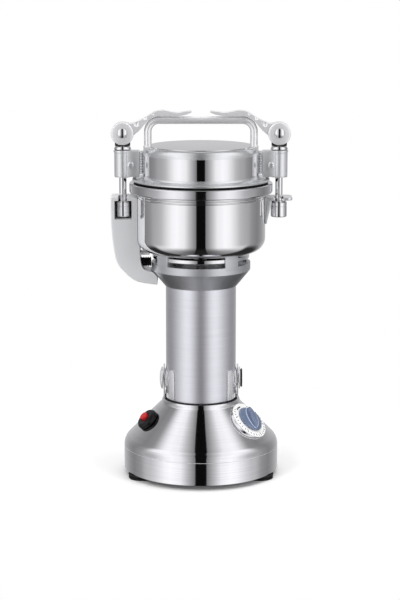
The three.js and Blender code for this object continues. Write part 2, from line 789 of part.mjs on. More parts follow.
function motorStator() {
  const top = statorBottom + statorLength;
  const body = ring(statorInner, statorOuter, statorBottom, top, MIDDLE);
  const coil = ring(statorInner + 3, statorOuter - 4, statorBottom - 5, top + 5, MIDDLE);
  return body.add(coil);
}

const commutatorRadius = 11;

function brushGear() {
  const holder = block(commutatorRadius + 1, statorOuter - 3, -4, 4, brushZ - 4, brushZ + 3);
  const outer = ring(statorOuter - 6, statorOuter, brushZ - 6, brushZ - 2, MIDDLE);
  return united(outer, holder, holder.rotate([0, 0, 180]));
}

function bearing(bottom) {
  return ring(shaftRadius + GAP, bearingRadius, bottom, bottom + bearingWidth, MIDDLE);
}

const upperBearingBottom = collarRim - 3 - bearingWidth;

function shaftSeal() {
  const bore = shaftRadius + GAP;
  const deck = bowlBottom + bowlWall + GAP;
  return turned([
    [bore, bowlBottom - 1.6], [sealBore - GAP, bowlBottom - 1.6], [sealBore - GAP, deck], [sealFlange, deck],
    [sealFlange - 1.5, deck + 2.2], [bore, deck + 2.2],
  ], MIDDLE);
}

// ---------------------------------------------------------------- rotor

const bladeZ = bowlBottom + bowlWall + 6.5;
const upperBladeZ = bladeZ + bladeThickness + GAP + spacerHeight + GAP;
const shaftTop = upperBladeZ + bladeThickness + 11;

function motorShaft() {
  const step = bladeZ - GAP;
  return turned([
    [0, bearingBottom - 1], [shaftRadius, bearingBottom - 1], [shaftRadius, step], [threadRadius, step],
    [threadRadius, shaftTop - 1], [threadRadius - 1, shaftTop], [0, shaftTop],
  ], SMALL);
}

function armature() {
  const bore = shaftRadius + GAP;
  const low = statorBottom - 1;
  const high = statorBottom + statorLength + 1;
  const core = ring(bore, armatureRadius, low, high, MIDDLE);
  const windings = ring(bore, armatureRadius - 3, low - 4, high + 4, SMALL);
  const commutator = ring(bore, commutatorRadius, brushZ - 7, low, SMALL);
  return united(core, windings, commutator);
}

const fanBlades = 9;

function coolingFan() {
  const bore = shaftRadius + GAP;
  const bottom = statorBottom + statorLength + 9;
  const hub = ring(bore, 12, bottom, bottom + 11, SMALL);
  const back = ring(bore, fanRadius, bottom, bottom + 1.6, WIDE);
  const vanes = [];
  for (let i = 0; i < fanBlades; i += 1) {
    const vane = block(10, fanRadius - 0.5, -0.8, 0.8, bottom + 1, bottom + 9);
    vanes.push(vane.rotate([0, 0, 360 * i / fanBlades]));
  }
  return united(back, hub, ...vanes);
}

// A flat two-armed blade whose tips are bent up (or down) by a tilt in degrees.
function blade(level, tilt, heading) {
  const bend = bladeBend;
  const half = bladeWidth / 2;
  const centre = block(-bend, bend, -half, half, 0, bladeThickness);
  const length = (bladeReach - bend) / Math.cos(THREE.MathUtils.degToRad(tilt));
  const shape = new THREE.Shape([
    new THREE.Vector2(0, -half), new THREE.Vector2(length - 10, -half), new THREE.Vector2(length, half - 6),
    new THREE.Vector2(length - 3, half), new THREE.Vector2(0, half),
  ]);
  const arm = toSolid(new THREE.ExtrudeGeometry(shape, { depth: bladeThickness, bevelEnabled: false }));
  const lift = Math.max(0, Math.sin(THREE.MathUtils.degToRad(tilt)) * bladeThickness);
  const bent = arm.rotate([0, -tilt, 0]).translate([bend - 0.6 + lift * 0.2, 0, 0]);
  const both = united(centre, bent, bent.rotate([0, 0, 180]));
  const bored = both.subtract(disc(threadRadius + GAP, -5, 10, SMALL));
  return bored.rotate([0, 0, heading]).translate([0, 0, level]);
}

function bladeSpacer() {
  return ring(threadRadius + GAP, 9, bladeZ + bladeThickness + GAP, upperBladeZ - GAP, SMALL);
}

function bladeNut() {
  const bottom = upperBladeZ + bladeThickness + GAP;
  return disc(8, bottom, bottom + 7, 6).subtract(disc(threadRadius + GAP, bottom - 1, bottom + 8, SMALL));
}

// ---------------------------------------------------------------- lid

// The lid's outer surface from the flange up to the axis, grown outwards by a clearance.
function lidOutline(grow) {
  const flangeTop = lidBottom + flangeHeight;
  const flareRadius = flareHeight;
  const flare = arc(lidRadius + flareRadius, flangeTop + flareRadius, flareRadius - grow, 270, 180, 3);
  const edge = arc(lidRadius - lidEdge, lidTop - lidEdge, lidEdge + grow, 0, 90, 3);
  const rim = flangeRadius + grow;
  return [[rim, lidBottom - grow], [rim, flangeTop + grow], ...flare, ...edge];
}

function lidShell() {
  const inside = [
    ...arc(lidRadius - lidEdge, lidTop - lidEdge, lidEdge - lidWall, 90, 0, 3),
    [lidRadius - lidWall, lidBottom],
  ];
  return turned([[0, lidTop - lidWall], ...inside, ...lidOutline(0), [0, lidTop]], WIDE);
}

function lidSolid(grow) {
  return turned([[0, lidBottom - grow], ...lidOutline(grow), [0, lidTop + grow]], CUTTER);
}

function lidGasket() {
  const outer = flangeRadius - 1.6;
  return ring(outer - gasketWidth, outer, rimTop + GAP, gasketTop, WIDE);
}

// The middle line of the bent rod: a leg, a bend, the bar, a bend and the other leg.
class BentRod extends THREE.Curve {
  constructor(halfSpan, foot, level, bend) {
    super();
    this.size = { halfSpan, foot, level, bend };
    this.leg = level - bend - foot;
    this.turn = Math.PI / 2 * bend;
    this.span = 2 * (halfSpan - bend);
    this.total = 2 * (this.leg + this.turn) + this.span;
  }

  getPoint(t, target = new THREE.Vector3()) {
    const { halfSpan, foot, level, bend } = this.size;
    const side = t < 0.5 ? -1 : 1;
    const run = Math.min(t, 1 - t) * this.total;
    if (run < this.leg) return target.set(side * halfSpan, 0, foot + run);
    if (run < this.leg + this.turn) {
      const angle = (run - this.leg) / bend;
      const x = halfSpan - bend + bend * Math.cos(angle);
      return target.set(side * x, 0, level - bend + bend * Math.sin(angle));
    }
    const rest = run - this.leg - this.turn;
    return target.set(side * (halfSpan - bend - rest), 0, level);
  }
}

function lidHandle() {
  const section = new THREE.Shape();
  section.absarc(0, 0, handleRod, 0, 2 * Math.PI);
  const path = new BentRod(legX, lidTop - 10, barZ, handleBend);
  const steps = 2 * Math.round(path.total / 9);
  const sweep = { steps, extrudePath: path, curveSegments: 7, bevelEnabled: false };
  const rod = new THREE.ExtrudeGeometry(section, sweep);
  return toSolid(rod).subtract(lidSolid(GAP));
}

// The block that ties a clamp rod's sleeve to the lid's side.
function strap(sign) {
  const sleeve = ring(rodRadius + RUNNING, strapRadius, strapBottom, strapTop, MIDDLE);
  const lip = ring(rodRadius + RUNNING, strapRadius + 0.6, strapTop - 2, strapTop, MIDDLE);
  const tongueLength = clampX - lidRadius + 4;
  const tongue = block(-tongueLength, -2, -strapRadius, strapRadius, strapBottom + 0.4, strapTop - 0.4);
  const bore = disc(rodRadius + RUNNING, strapBottom - 2, strapTop + 2, SMALL);
  const piece = united(sleeve, lip, tongue).subtract(bore);
  const turnedPiece = sign > 0 ? piece : piece.rotate([0, 0, 180]);
  return turnedPiece.translate([sign * clampX, 0, 0]).subtract(lidSolid(GAP));
}

function washer() {
  const bottom = strapTop + 0.6;
  return ring(rodRadius + RUNNING, strapRadius + 0.2, bottom, bottom + washerHeight, MIDDLE);
}

// ---------------------------------------------------------------- clamp rods and cam levers

function camSeat(sign) {
  const body = ring(rodRadius + GAP, seatRadius, seatBottom, seatBottom + seatHeight, MIDDLE);
  const hollow = bar(camRadius + GAP, 40, 'y', 0, 0, camCentreZ, WIDE);
  return body.subtract(hollow).translate([sign * clampX, 0, 0]);
}

function clampRod(sign) {
  const bottom = nutTop - nutHeight + 2.2;
  const stem = disc(rodRadius, bottom, pinZ, SMALL);
  const eye = bar(eyeRadius, camSlot - 2 * RUNNING, 'y', 0, 0, pinZ);
  const hole = bar(camPin + GAP, 30, 'y', 0, 0, pinZ);
  return stem.add(eye).subtract(hole).subtract(block(-9, 9, -9, 9, pinZ + eyeRadius, pinZ + 9))
    .translate([sign * clampX, 0, 0]);
}

function camPivotPin(sign) {
  const half = camWidth / 2;
  const profile = [
    [0, -half - 2.3], [3, -half - 1.9], [camPinHead, -half - GAP - 0.3], [camPinHead, -half - GAP],
    [camPin, -half - GAP], [camPin, half + GAP], [camPinHead, half + GAP], [camPinHead, half + GAP + 0.3],
    [3, half + 1.9], [0, half + 2.3],
  ];
  return turned(profile, SMALL).rotate([90, 0, 0]).translate([sign * clampX, 0, pinZ]);
}

// The lever's side view, from its cam outwards along +X, with the pin at the origin.
function leverOutline() {
  const reach = clampX - leverTipGap;
  const leg = clampX - legX;
  const top = barZ + handleRod - pinZ;
  const upper = smooth([
    [2, camRadius - 1.3], [11, 10.2], [leg - 4, 15.4], [leg + 2.5, 19.4], [leg + 9, top + 5.9],
    [leg + 17, top + 6.6], [leg + 31, top + 4.2], [reach - 8, top + 5.2], [reach, top + 6],
  ], 16);
  const lower = smooth([
    [reach + 0.6, top + 4.6], [reach - 6, top + 2], [reach - 16, top + 0.7], [leg + 13, top + 0.6],
    [leg + 5, top - 1], [leg - 2.5, top - 7.6], [leg - 9, 2.2], [6, -7],
  ], 14);
  return [...upper, ...lower];
}

function camLever(sign) {
  const reach = clampX - leverTipGap;
  const arm = plate(leverOutline(), camWidth - 4);
  const waist = new THREE.Shape([
    new THREE.Vector2(0, -9), new THREE.Vector2(22, -7), new THREE.Vector2(reach + 2, -5.5),
    new THREE.Vector2(reach + 2, 5.5), new THREE.Vector2(22, 7), new THREE.Vector2(0, 9),
  ]);
  const planView = toSolid(new THREE.ExtrudeGeometry(waist, { depth: 80, bevelEnabled: false }))
    .translate([0, 0, -40]);
  const cam = bar(camRadius, camWidth, 'y', 0, 0, -camEccentricity, MIDDLE);
  const slot = block(-20, eyeRadius + 1.2, -camSlot / 2, camSlot / 2, -20, 20);
  const pinHole = bar(camPin + GAP, 40, 'y', 0, 0, 0);
  const lever = cut(arm.intersect(planView).add(cam), slot, pinHole);
  const facing = sign > 0 ? lever.rotate([0, 0, 180]) : lever;
  return facing.translate([sign * clampX, 0, pinZ]);
}

// ---------------------------------------------------------------- assembly

function buildHead() {
  addNode(head, 'motor_column', motorColumn(), satin());
  addNode(head, 'column_tail', columnTail(), satin());
  addNode(head, 'collar', collar(), finish(0xb9babf, 0.5, 1));
  addNode(head, 'vent_disc', ventDisc(), polished());
  addNode(head, 'bowl', bowl(), polished());
  addNode(head, 'bowl_rim', bowlRim(), polished());
  addNode(head, 'side_handle', sideHandle(), satin());
  addNode(head, 'switch_conduit', switchConduit(), rubber());
  addNode(head, 'interlock_switch', interlockSwitch(), black());
  addNode(head, 'clamp_bracket', clampBracket(), chrome());
  addNode(head, 'cylinder_nut_left', cylinderNut(leftNutRadius), chrome()).position.x = -clampX;
  addNode(head, 'cylinder_nut_right', cylinderNut(rightNutRadius), chrome()).position.x = clampX;
  addNode(head, 'motor_stator', motorStator(), steel());
  addNode(head, 'brush_gear', brushGear(), black());
  addNode(head, 'lower_bearing', bearing(bearingBottom), steel());
  addNode(head, 'upper_bearing', bearing(upperBearingBottom), steel());
  addNode(head, 'shaft_seal', shaftSeal(), rubber());
  for (const { name, sign } of sides) {
    addNode(head, `saddle_${name}`, saddle(sign), polished());
    addNode(head, `pivot_cap_${name}`, pivotCap(sign), polished());
  }
}

function buildRotor() {
  addNode(rotor, 'motor_shaft', motorShaft(), steel());
  addNode(rotor, 'armature', armature(), finish(0x8a5a3a, 0.5, 1));
  addNode(rotor, 'cooling_fan', coolingFan(), black());
  addNode(rotor, 'lower_blade', blade(bladeZ, 24, 0), steel());
  addNode(rotor, 'blade_spacer', bladeSpacer(), steel());
  addNode(rotor, 'upper_blade', blade(upperBladeZ, 14, 90), steel());
  addNode(rotor, 'blade_nut', bladeNut(), steel());
}

function buildLid() {
  addNode(lid, 'lid_shell', lidShell(), polished());
  addNode(lid, 'lid_gasket', lidGasket(), rubber());
  addNode(lid, 'lid_handle', lidHandle(), chrome());
  for (const { name, sign } of sides) {
    addNode(lid, `strap_${name}`, strap(sign), satin());
    addNode(lid, `washer_${name}`, washer(), chrome()).position.x = sign * clampX;
    addNode(lid, `cam_seat_${name}`, camSeat(sign), black());
    addNode(lid, `clamp_rod_${name}`, clampRod(sign), chrome());
    addNode(lid, `cam_pin_${name}`, camPivotPin(sign), chrome());
    addNode(lid, `cam_lever_${name}`, camLever(sign), chrome());
  }
}

buildBase();
buildHead();
buildRotor();
buildLid();

export default mill;
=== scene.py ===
"""Looks of the swing-type grain mill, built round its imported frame.  Metres, +Z up."""
import json
import math

import bmesh
import bpy
from mathutils import Matrix, Vector


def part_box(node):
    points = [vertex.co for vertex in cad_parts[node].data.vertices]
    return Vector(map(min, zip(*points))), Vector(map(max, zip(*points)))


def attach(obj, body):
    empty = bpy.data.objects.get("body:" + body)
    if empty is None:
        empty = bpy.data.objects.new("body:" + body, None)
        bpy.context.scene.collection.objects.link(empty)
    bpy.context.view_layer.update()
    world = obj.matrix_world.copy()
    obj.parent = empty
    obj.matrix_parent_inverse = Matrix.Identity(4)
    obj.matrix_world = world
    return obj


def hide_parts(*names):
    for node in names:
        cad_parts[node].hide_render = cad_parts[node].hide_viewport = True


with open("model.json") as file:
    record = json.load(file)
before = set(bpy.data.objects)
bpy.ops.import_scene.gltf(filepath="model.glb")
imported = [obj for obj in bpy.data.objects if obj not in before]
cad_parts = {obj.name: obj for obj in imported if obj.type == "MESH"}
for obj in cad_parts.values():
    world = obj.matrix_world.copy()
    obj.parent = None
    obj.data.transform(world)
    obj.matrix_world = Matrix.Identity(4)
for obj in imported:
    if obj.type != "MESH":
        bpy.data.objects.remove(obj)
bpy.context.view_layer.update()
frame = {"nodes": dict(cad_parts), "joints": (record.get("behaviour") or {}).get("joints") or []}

MM = 0.001
AROUND = 160             # steps round a large turned piece
AROUND_SMALL = 64
SIDES = (("left", -1), ("right", 1))


# ------------------------------------------------------------------ camera, light and floor

def math_node(tree, operation, first, second=None, third=None):
    node = tree.nodes.new("ShaderNodeMath")
    node.operation = operation
    for slot, value in enumerate((first, second, third)):
        if value is None:
            continue
        if isinstance(value, (int, float)):
            node.inputs[slot].default_value = value
        else:
            tree.links.new(value, node.inputs[slot])
    return node.outputs[0]


CAMERA_DISTANCE = 1.885       # in front of the mill's axis, in metres
CAMERA_HEIGHT = 0.549
CAMERA_PITCH = 10.82          # looking down, in degrees
FILM_HEIGHT = 36.0
FOCAL_LENGTH = 106.9
LENS_SHIFT = -0.0015


def make_camera():
    """A long lens in front of the mill, a little above its lid and looking slightly down."""
    data = bpy.data.cameras.new("studio_camera")
    data.sensor_fit = "VERTICAL"
    data.sensor_height = FILM_HEIGHT
    data.lens = FOCAL_LENGTH
    data.shift_x = LENS_SHIFT
    data.clip_end = 50.0
    camera = bpy.data.objects.new("studio_camera", data)
    camera.location = (0.0, -CAMERA_DISTANCE, CAMERA_HEIGHT)
    camera.rotation_euler = (math.pi / 2 - math.radians(CAMERA_PITCH), 0.0, 0.0)
    bpy.context.scene.collection.objects.link(camera)
    bpy.context.scene.camera = camera


# Brightness of the studio's vault by the angle from straight behind the camera, in degrees: a
# black strip there, a bright panel on either side of it and greyer walls further round.
STUDIO_VAULT = [
    (0.0, 0.004), (7.7, 0.004), (8.2, 0.22), (13.0, 0.36), (20.0, 0.60), (29.0, 1.0), (43.0, 1.16),
    (52.0, 1.08), (62.0, 0.84), (72.0, 0.58), (82.0, 0.46), (92.0, 0.40), (108.0, 0.30), (120.0, 0.25),
    (132.0, 0.31), (146.0, 0.43), (164.0, 0.56), (180.0, 0.60),
]
OVERHEAD_NARROWING = 1.3      # the bands draw together where they pass overhead
BELOW_FLOOR_SHADE = 0.32      # share of its brightness that the vault keeps far below the floor
REAR_FLOOR_SHADING = 0.97     # how far the rear wall darkens below the floor
DARKEST = 0.02
# Where these changes start and end, as heights (or, for the rear, depths) on a sphere of radius 1.
OVERHEAD_SPAN = (0.6, 0.92)
REAR_SPAN = (-0.10, 0.22)
BELOW_FLOOR_SPAN = (-0.85, -0.32)
REAR_FLOOR_SPAN = (-0.58, -0.30)


def vault_ramp(tree, share):
    """The vault's brightness from an angle given as a share of half a turn."""
    walls = tree.nodes.new("ShaderNodeValToRGB")
    ramp = walls.color_ramp
    ramp.elements[0].position = 0.0
    ramp.elements[1].position = 1.0
    for degrees, _ in STUDIO_VAULT[1:-1]:
        ramp.elements.new(degrees / 180.0)
    for element, (_, value) in zip(ramp.elements, STUDIO_VAULT):
        element.color = (value, value, value * 1.02, 1.0)
    tree.links.new(share, walls.inputs[0])
    return walls.outputs["Color"]


def stepped(tree, value, low, high, first, last):
    """A value eased from first to last while another goes from low to high."""
    step = tree.nodes.new("ShaderNodeMapRange")
    step.interpolation_type = "SMOOTHSTEP"
    for socket, number in (("From Min", low), ("From Max", high), ("To Min", first), ("To Max", last)):
        step.inputs[socket].default_value = number
    tree.links.new(value, step.inputs["Value"])
    return step.outputs["Result"]


def blended(tree, factor, first, second):
    """A colour between two colours, each a socket, a red-green-blue tuple or a grey level."""
    mix = tree.nodes.new("ShaderNodeMix")
    mix.data_type = "RGBA"
    for slot, value in (("A", first), ("B", second)):
        if isinstance(value, float):
            value = (value, value, value)
        if isinstance(value, tuple):
            mix.inputs[slot].default_value = (*value, 1.0)
        else:
            tree.links.new(value, mix.inputs[slot])
    tree.links.new(factor, mix.inputs["Factor"])
    return mix.outputs["Result"]


def make_world():
    """A studio whose bands arch over the mill from front to back, plain white to the camera."""
    world = bpy.data.worlds.new("studio")
    world.use_nodes = True
    bpy.context.scene.world = world
    tree = world.node_tree
    tree.nodes.clear()
    nodes, link = tree.nodes, tree.links.new
    coordinate = nodes.new("ShaderNodeTexCoord")
    split = nodes.new("ShaderNodeSeparateXYZ")
    link(coordinate.outputs["Generated"], split.inputs[0])
    x, y, z = split.outputs
    side = math_node(tree, "ABSOLUTE", x)
    front = math_node(tree, "MULTIPLY", y, -1.0)
    narrowing = stepped(tree, z, *OVERHEAD_SPAN, 1.0, OVERHEAD_NARROWING)
    over = math_node(tree, "ARCSINE", math_node(tree, "MINIMUM", side, 1.0))
    over = math_node(tree, "DIVIDE", over, math.pi)
    over = math_node(tree, "MULTIPLY", over, narrowing)
    around = math_node(tree, "DIVIDE", math_node(tree, "ARCTAN2", side, front), math.pi)
    behind = stepped(tree, y, *REAR_SPAN, 0.0, 1.0)
    vault = blended(tree, behind, vault_ramp(tree, over), vault_ramp(tree, around))
    low = stepped(tree, z, *BELOW_FLOOR_SPAN, 1.0 - BELOW_FLOOR_SHADE, 0.0)
    under = stepped(tree, z, *REAR_FLOOR_SPAN, REAR_FLOOR_SHADING, 0.0)
    under = math_node(tree, "MULTIPLY", behind, under)
    shaded = blended(tree, math_node(tree, "MAXIMUM", low, under), vault, DARKEST)
    paths = nodes.new("ShaderNodeLightPath")
    seen = blended(tree, paths.outputs["Is Camera Ray"], shaded, 1.0)
    background = nodes.new("ShaderNodeBackground")
    link(seen, background.inputs["Color"])
    output = nodes.new("ShaderNodeOutputWorld")
    link(background.outputs[0], output.inputs["Surface"])


def soft_light(name, place, target, size, power):
    """A round light that mirrors don't show."""
    data = bpy.data.lights.new(name, "AREA")
    data.shape = "DISK"
    data.size = size
    data.energy = power
    light = bpy.data.objects.new(name, data)
    light.location = place
    light.rotation_euler = (Vector(target) - Vector(place)).to_track_quat("-Z", "Y").to_euler()
    light.visible_glossy = False
    bpy.context.scene.collection.objects.link(light)


# Name, place, target, width in metres and power in watts of each light.
SOFT_LIGHTS = (
    ("overhead_light", (0.2, 0.3, 2.6), (0.0, 0.0, 0.0), 2.4, 42.0),
    ("key_light", (-1.6, -1.8, 1.9), (0.0, 0.0, 0.2), 1.2, 26.0),
    ("fill_light", (1.8, -1.6, 1.2), (0.0, 0.0, 0.2), 1.2, 14.0),
)
FLOOR_REACH = 1.2             # half the floor's width in metres
FLOOR_FADE = (0.13, 0.42)     # distances in metres between which the floor fades out


def make_stage():
    """The camera, the world, three soft lights and a white floor that fades out."""
    make_camera()
    make_world()
    for light in SOFT_LIGHTS:
        soft_light(*light)
    mesh = bpy.data.meshes.new("studio_floor")
    corners = [(-1, -1), (1, -1), (1, 1), (-1, 1)]
    mesh.from_pydata([(x * FLOOR_REACH, y * FLOOR_REACH, 0) for x, y in corners], [], [(0, 1, 2, 3)])
    floor = bpy.data.objects.new("studio_floor", mesh)
    floor.visible_glossy = False
    bpy.context.scene.collection.objects.link(floor)
    material = bpy.data.materials.new("studio_floor")
    material.use_nodes = True
    tree = material.node_tree
    surface = tree.nodes["Principled BSDF"]
    surface.inputs["Base Color"].default_value = (0.95, 0.95, 0.95, 1.0)
    surface.inputs["Roughness"].default_value = 0.9
    surface.inputs["Specular IOR Level"].default_value = 0.0
    place = tree.nodes.new("ShaderNodeTexCoord")
    distance = tree.nodes.new("ShaderNodeVectorMath")
    distance.operation = "LENGTH"
    tree.links.new(place.outputs["Object"], distance.inputs[0])
    fade = stepped(tree, distance.outputs["Value"], *FLOOR_FADE, 1.0, 0.0)
    tree.links.new(fade, surface.inputs["Alpha"])
    mesh.materials.append(material)
    view = bpy.context.scene.view_settings
    view.view_transform = "Standard"
    view.look = "None"


make_stage()


# ------------------------------------------------------------------ shader groups

def new_group(name, inputs, outputs):
    tree = bpy.data.node_groups.new(name, "ShaderNodeTree")
    for socket, kind, value in inputs:
        made = tree.interface.new_socket(socket, in_out="INPUT", socket_type=kind)
        if value is not None:
            made.default_value = value
    for socket, kind in outputs:
        tree.interface.new_socket(socket, in_out="OUTPUT", socket_type=kind)
    return tree, tree.nodes.new("NodeGroupInput"), tree.nodes.new("NodeGroupOutput")


def noise_node(tree, vector, scale, detail=3.0, roughness=0.5):
    node = tree.nodes.new("ShaderNodeTexNoise")
    node.inputs["Detail"].default_value = detail
    node.inputs["Roughness"].default_value = roughness
    if isinstance(scale, (int, float)):
        node.inputs["Scale"].default_value = scale
    else:
        tree.links.new(scale, node.inputs["Scale"])
    if vector is not None:
        tree.links.new(vector, node.inputs["Vector"])
    return node.outputs["Fac"]


def stretched(tree, value, low, high):
    """A value drawn out so that low becomes 0 and high becomes 1, and held beyond them."""
    node = tree.nodes.new("ShaderNodeMapRange")
    node.inputs["From Min"].default_value = low
    node.inputs["From Max"].default_value = high
    tree.links.new(value, node.inputs["Value"])
    return node.outputs["Result"]


def turning_marks_group():
    """Fine lines that run round an upright axis, as a lathe or a spinning brush leaves them."""
    tree, given, made = new_group(
        "turning_marks",
        [("Vector", "NodeSocketVector", None), ("Line Density", "NodeSocketFloat", 900.0)],
        [("Marks", "NodeSocketFloat"), ("Slow Variation", "NodeSocketFloat")])
    split = tree.nodes.new("ShaderNodeSeparateXYZ")
    tree.links.new(given.outputs["Vector"], split.inputs[0])
    x, y, z = split.outputs
    squares = [math_node(tree, "MULTIPLY", value, value) for value in (x, y)]
    radius = math_node(tree, "SQRT", math_node(tree, "ADD", *squares))
    turn = math_node(tree, "ARCTAN2", y, x)
    combine = tree.nodes.new("ShaderNodeCombineXYZ")
    density = given.outputs["Line Density"]
    for slot, (value, scale) in enumerate(((turn, 0.9), (z, density), (radius, density))):
        tree.links.new(math_node(tree, "MULTIPLY", value, scale), combine.inputs[slot])
    tree.links.new(noise_node(tree, combine.outputs[0], 1.0, 4.0, 0.65), made.inputs["Marks"])
    tree.links.new(noise_node(tree, given.outputs["Vector"], 22.0, 2.0), made.inputs["Slow Variation"])
    return tree


def handling_wear_group():
    """Edges rubbed bright (the blue knob's edge colour uses this mask as a painted highlight), faint smudges
    and hairline scratches.
    """
    tree, given, made = new_group(
        "handling_wear",
        [("Vector", "NodeSocketVector", None), ("Scratch Scale", "NodeSocketFloat", 160.0)],
        [("Edge", "NodeSocketFloat"), ("Smudge", "NodeSocketFloat"), ("Scratch", "NodeSocketFloat")])
    geometry = tree.nodes.new("ShaderNodeNewGeometry")
    edge = stretched(tree, geometry.outputs["Pointiness"], 0.52, 0.62)
    patchy = noise_node(tree, given.outputs["Vector"], 240.0, 4.0, 0.6)
    tree.links.new(math_node(tree, "MULTIPLY", edge, patchy), made.inputs["Edge"])
    tree.links.new(noise_node(tree, given.outputs["Vector"], 38.0, 5.0, 0.6), made.inputs["Smudge"])
    stretch = tree.nodes.new("ShaderNodeMapping")
    stretch.inputs["Rotation"].default_value = (0.3, 0.5, 0.7)
    stretch.inputs["Scale"].default_value = (1.0, 14.0, 14.0)
    tree.links.new(given.outputs["Vector"], stretch.inputs["Vector"])
    hairs = noise_node(tree, stretch.outputs[0], given.outputs["Scratch Scale"], 2.0, 0.4)
    tree.links.new(stretched(tree, hairs, 0.66, 0.74), made.inputs["Scratch"])
    return tree


def moulded_grain_group():
    """The fine spark-eroded grain of a moulded surface, with a little dust in it."""
    tree, given, made = new_group(
        "moulded_grain",
        [("Vector", "NodeSocketVector", None), ("Grain Size", "NodeSocketFloat", 1800.0)],
        [("Grain", "NodeSocketFloat"), ("Dust", "NodeSocketFloat")])
    tree.links.new(noise_node(tree, given.outputs["Vector"], given.outputs["Grain Size"], 3.0, 0.7),
                   made.inputs["Grain"])
    specks = noise_node(tree, given.outputs["Vector"], 420.0, 6.0, 0.75)
    tree.links.new(stretched(tree, specks, 0.55, 0.85), made.inputs["Dust"])
    return tree


TURNING = turning_marks_group()
WEAR = handling_wear_group()
GRAIN = moulded_grain_group()


# ------------------------------------------------------------------ materials

DUST_COLOUR = (0.55, 0.54, 0.52)


def start_material(name):
    material = bpy.data.materials.new(name)
    material.use_nodes = True
    tree = material.node_tree
    coordinate = tree.nodes.new("ShaderNodeTexCoord")
    return material, tree, tree.nodes["Principled BSDF"], coordinate.outputs["Object"]


def use_group(tree, group, vector, **values):
    node = tree.nodes.new("ShaderNodeGroup")
    node.node_tree = group
    tree.links.new(vector, node.inputs["Vector"])
    for socket, value in values.items():
        node.inputs[socket.replace("_", " ")].default_value = value
    return node


def bumped(tree, surface, height, strength, distance):
    bump = tree.nodes.new("ShaderNodeBump")
    bump.inputs["Strength"].default_value = strength
    bump.inputs["Distance"].default_value = distance
    tree.links.new(height, bump.inputs["Height"])
    tree.links.new(bump.outputs["Normal"], surface.inputs["Normal"])


def metal(name, colour, roughness, marks=0.0, mark_density=900.0, relief=None, smudge=0.03, worn=0.06,
          metallic=1.0):
    """A bare or plated metal: turning marks, smudges, hairline scratches and rubbed edges."""
    relief = marks if relief is None else relief
    material, tree, surface, vector = start_material(name)
    wear = use_group(tree, WEAR, vector)
    turning = use_group(tree, TURNING, vector, Line_Density=mark_density)
    surface.inputs["Metallic"].default_value = metallic
    brighter = tuple(min(1.0, c * 1.12) for c in colour)
    edge_lit = blended(tree, wear.outputs["Edge"], colour, brighter)
    streaks = math_node(tree, "MULTIPLY_ADD", turning.outputs["Marks"], marks * 3.0, -marks)
    varied = math_node(tree, "MULTIPLY_ADD", turning.outputs["Slow Variation"], 0.25, streaks)
    shade = blended(tree, varied, edge_lit, tuple(c * 0.86 for c in colour))
    tree.links.new(shade, surface.inputs["Base Color"])
    rough = math_node(tree, "MULTIPLY_ADD", wear.outputs["Smudge"], smudge, roughness - smudge * 0.5)
    rough = math_node(tree, "MULTIPLY_ADD", wear.outputs["Scratch"], worn, rough)
    rough = math_node(tree, "MULTIPLY_ADD", turning.outputs["Marks"], relief * 0.2, rough)
    tree.links.new(rough, surface.inputs["Roughness"])
    if marks > 0.0:
        bumped(tree, surface, turning.outputs["Marks"], relief, 0.00002)
    else:
        bumped(tree, surface, wear.outputs["Scratch"], 0.05, 0.00001)
    return material


def plastic(name, colour, roughness, grain=0.1, grain_size=1800.0, dust=0.06, coat=0.0, rubbed_or_highlight_edge=None,
            shine=0.5):
    """A moulding: grain, a trace of dust and lighter edges, worn on most mouldings and a painted highlight
    on the blue knob.
    """
    material, tree, surface, vector = start_material(name)
    moulding = use_group(tree, GRAIN, vector, Grain_Size=grain_size)
    wear = use_group(tree, WEAR, vector)
    lighter = rubbed_or_highlight_edge or tuple(min(1.0, c * 1.5 + 0.02) for c in colour)
    shade = blended(tree, wear.outputs["Edge"], colour, lighter)
    dusty = math_node(tree, "MULTIPLY", moulding.outputs["Dust"], dust)
    shade = blended(tree, dusty, shade, DUST_COLOUR)
    tree.links.new(shade, surface.inputs["Base Color"])
    rough = math_node(tree, "MULTIPLY_ADD", wear.outputs["Smudge"], 0.12, roughness - 0.06)
    tree.links.new(rough, surface.inputs["Roughness"])
    surface.inputs["Coat Weight"].default_value = coat
    surface.inputs["Specular IOR Level"].default_value = shine
    surface.inputs["Coat Roughness"].default_value = 0.08
    bumped(tree, surface, moulding.outputs["Grain"], grain, 0.00005)
    return material


mirror_steel = metal("mirror_polished_stainless", (0.84, 0.84, 0.85), 0.035, smudge=0.02, worn=0.04)
brushed_steel = metal("circular_brushed_stainless", (0.88, 0.88, 0.90), 0.045, marks=0.55,
                      mark_density=800.0, relief=0.05)
satin_column = metal("satin_anodised_column", (0.89, 0.89, 0.94), 0.36, marks=0.5, mark_density=1100.0,
                     relief=0.3)
turned_collar = metal("fine_turned_collar", (0.72, 0.73, 0.75), 0.40, marks=0.35, mark_density=1800.0,
                      relief=0.25)
satin_casting = metal("satin_silver_casting", (0.93, 0.94, 0.95), 0.36, smudge=0.03, worn=0.02,
                      metallic=0.42)
satin_nickel = metal("satin_nickel_lever", (0.97, 0.97, 0.98), 0.30, smudge=0.04, metallic=0.5)
pivot_nickel = metal("bright_pivot_plating", (0.95, 0.95, 0.96), 0.2, smudge=0.04, metallic=0.6)
bar_chrome = metal("round_bar_chrome", (0.97, 0.97, 0.98), 0.2, smudge=0.04, metallic=0.5)
satin_band = metal("linished_lid_edge", (0.82, 0.83, 0.84), 0.24, marks=0.2, mark_density=1500.0,
                   relief=0.1, metallic=0.85)
rim_steel = metal("rolled_rim_stainless", (0.78, 0.78, 0.80), 0.07, marks=0.25, mark_density=1500.0,
                  relief=0.04)
bright_chrome = metal("bright_chrome_plate", (0.88, 0.88, 0.89), 0.05, smudge=0.03, worn=0.05)
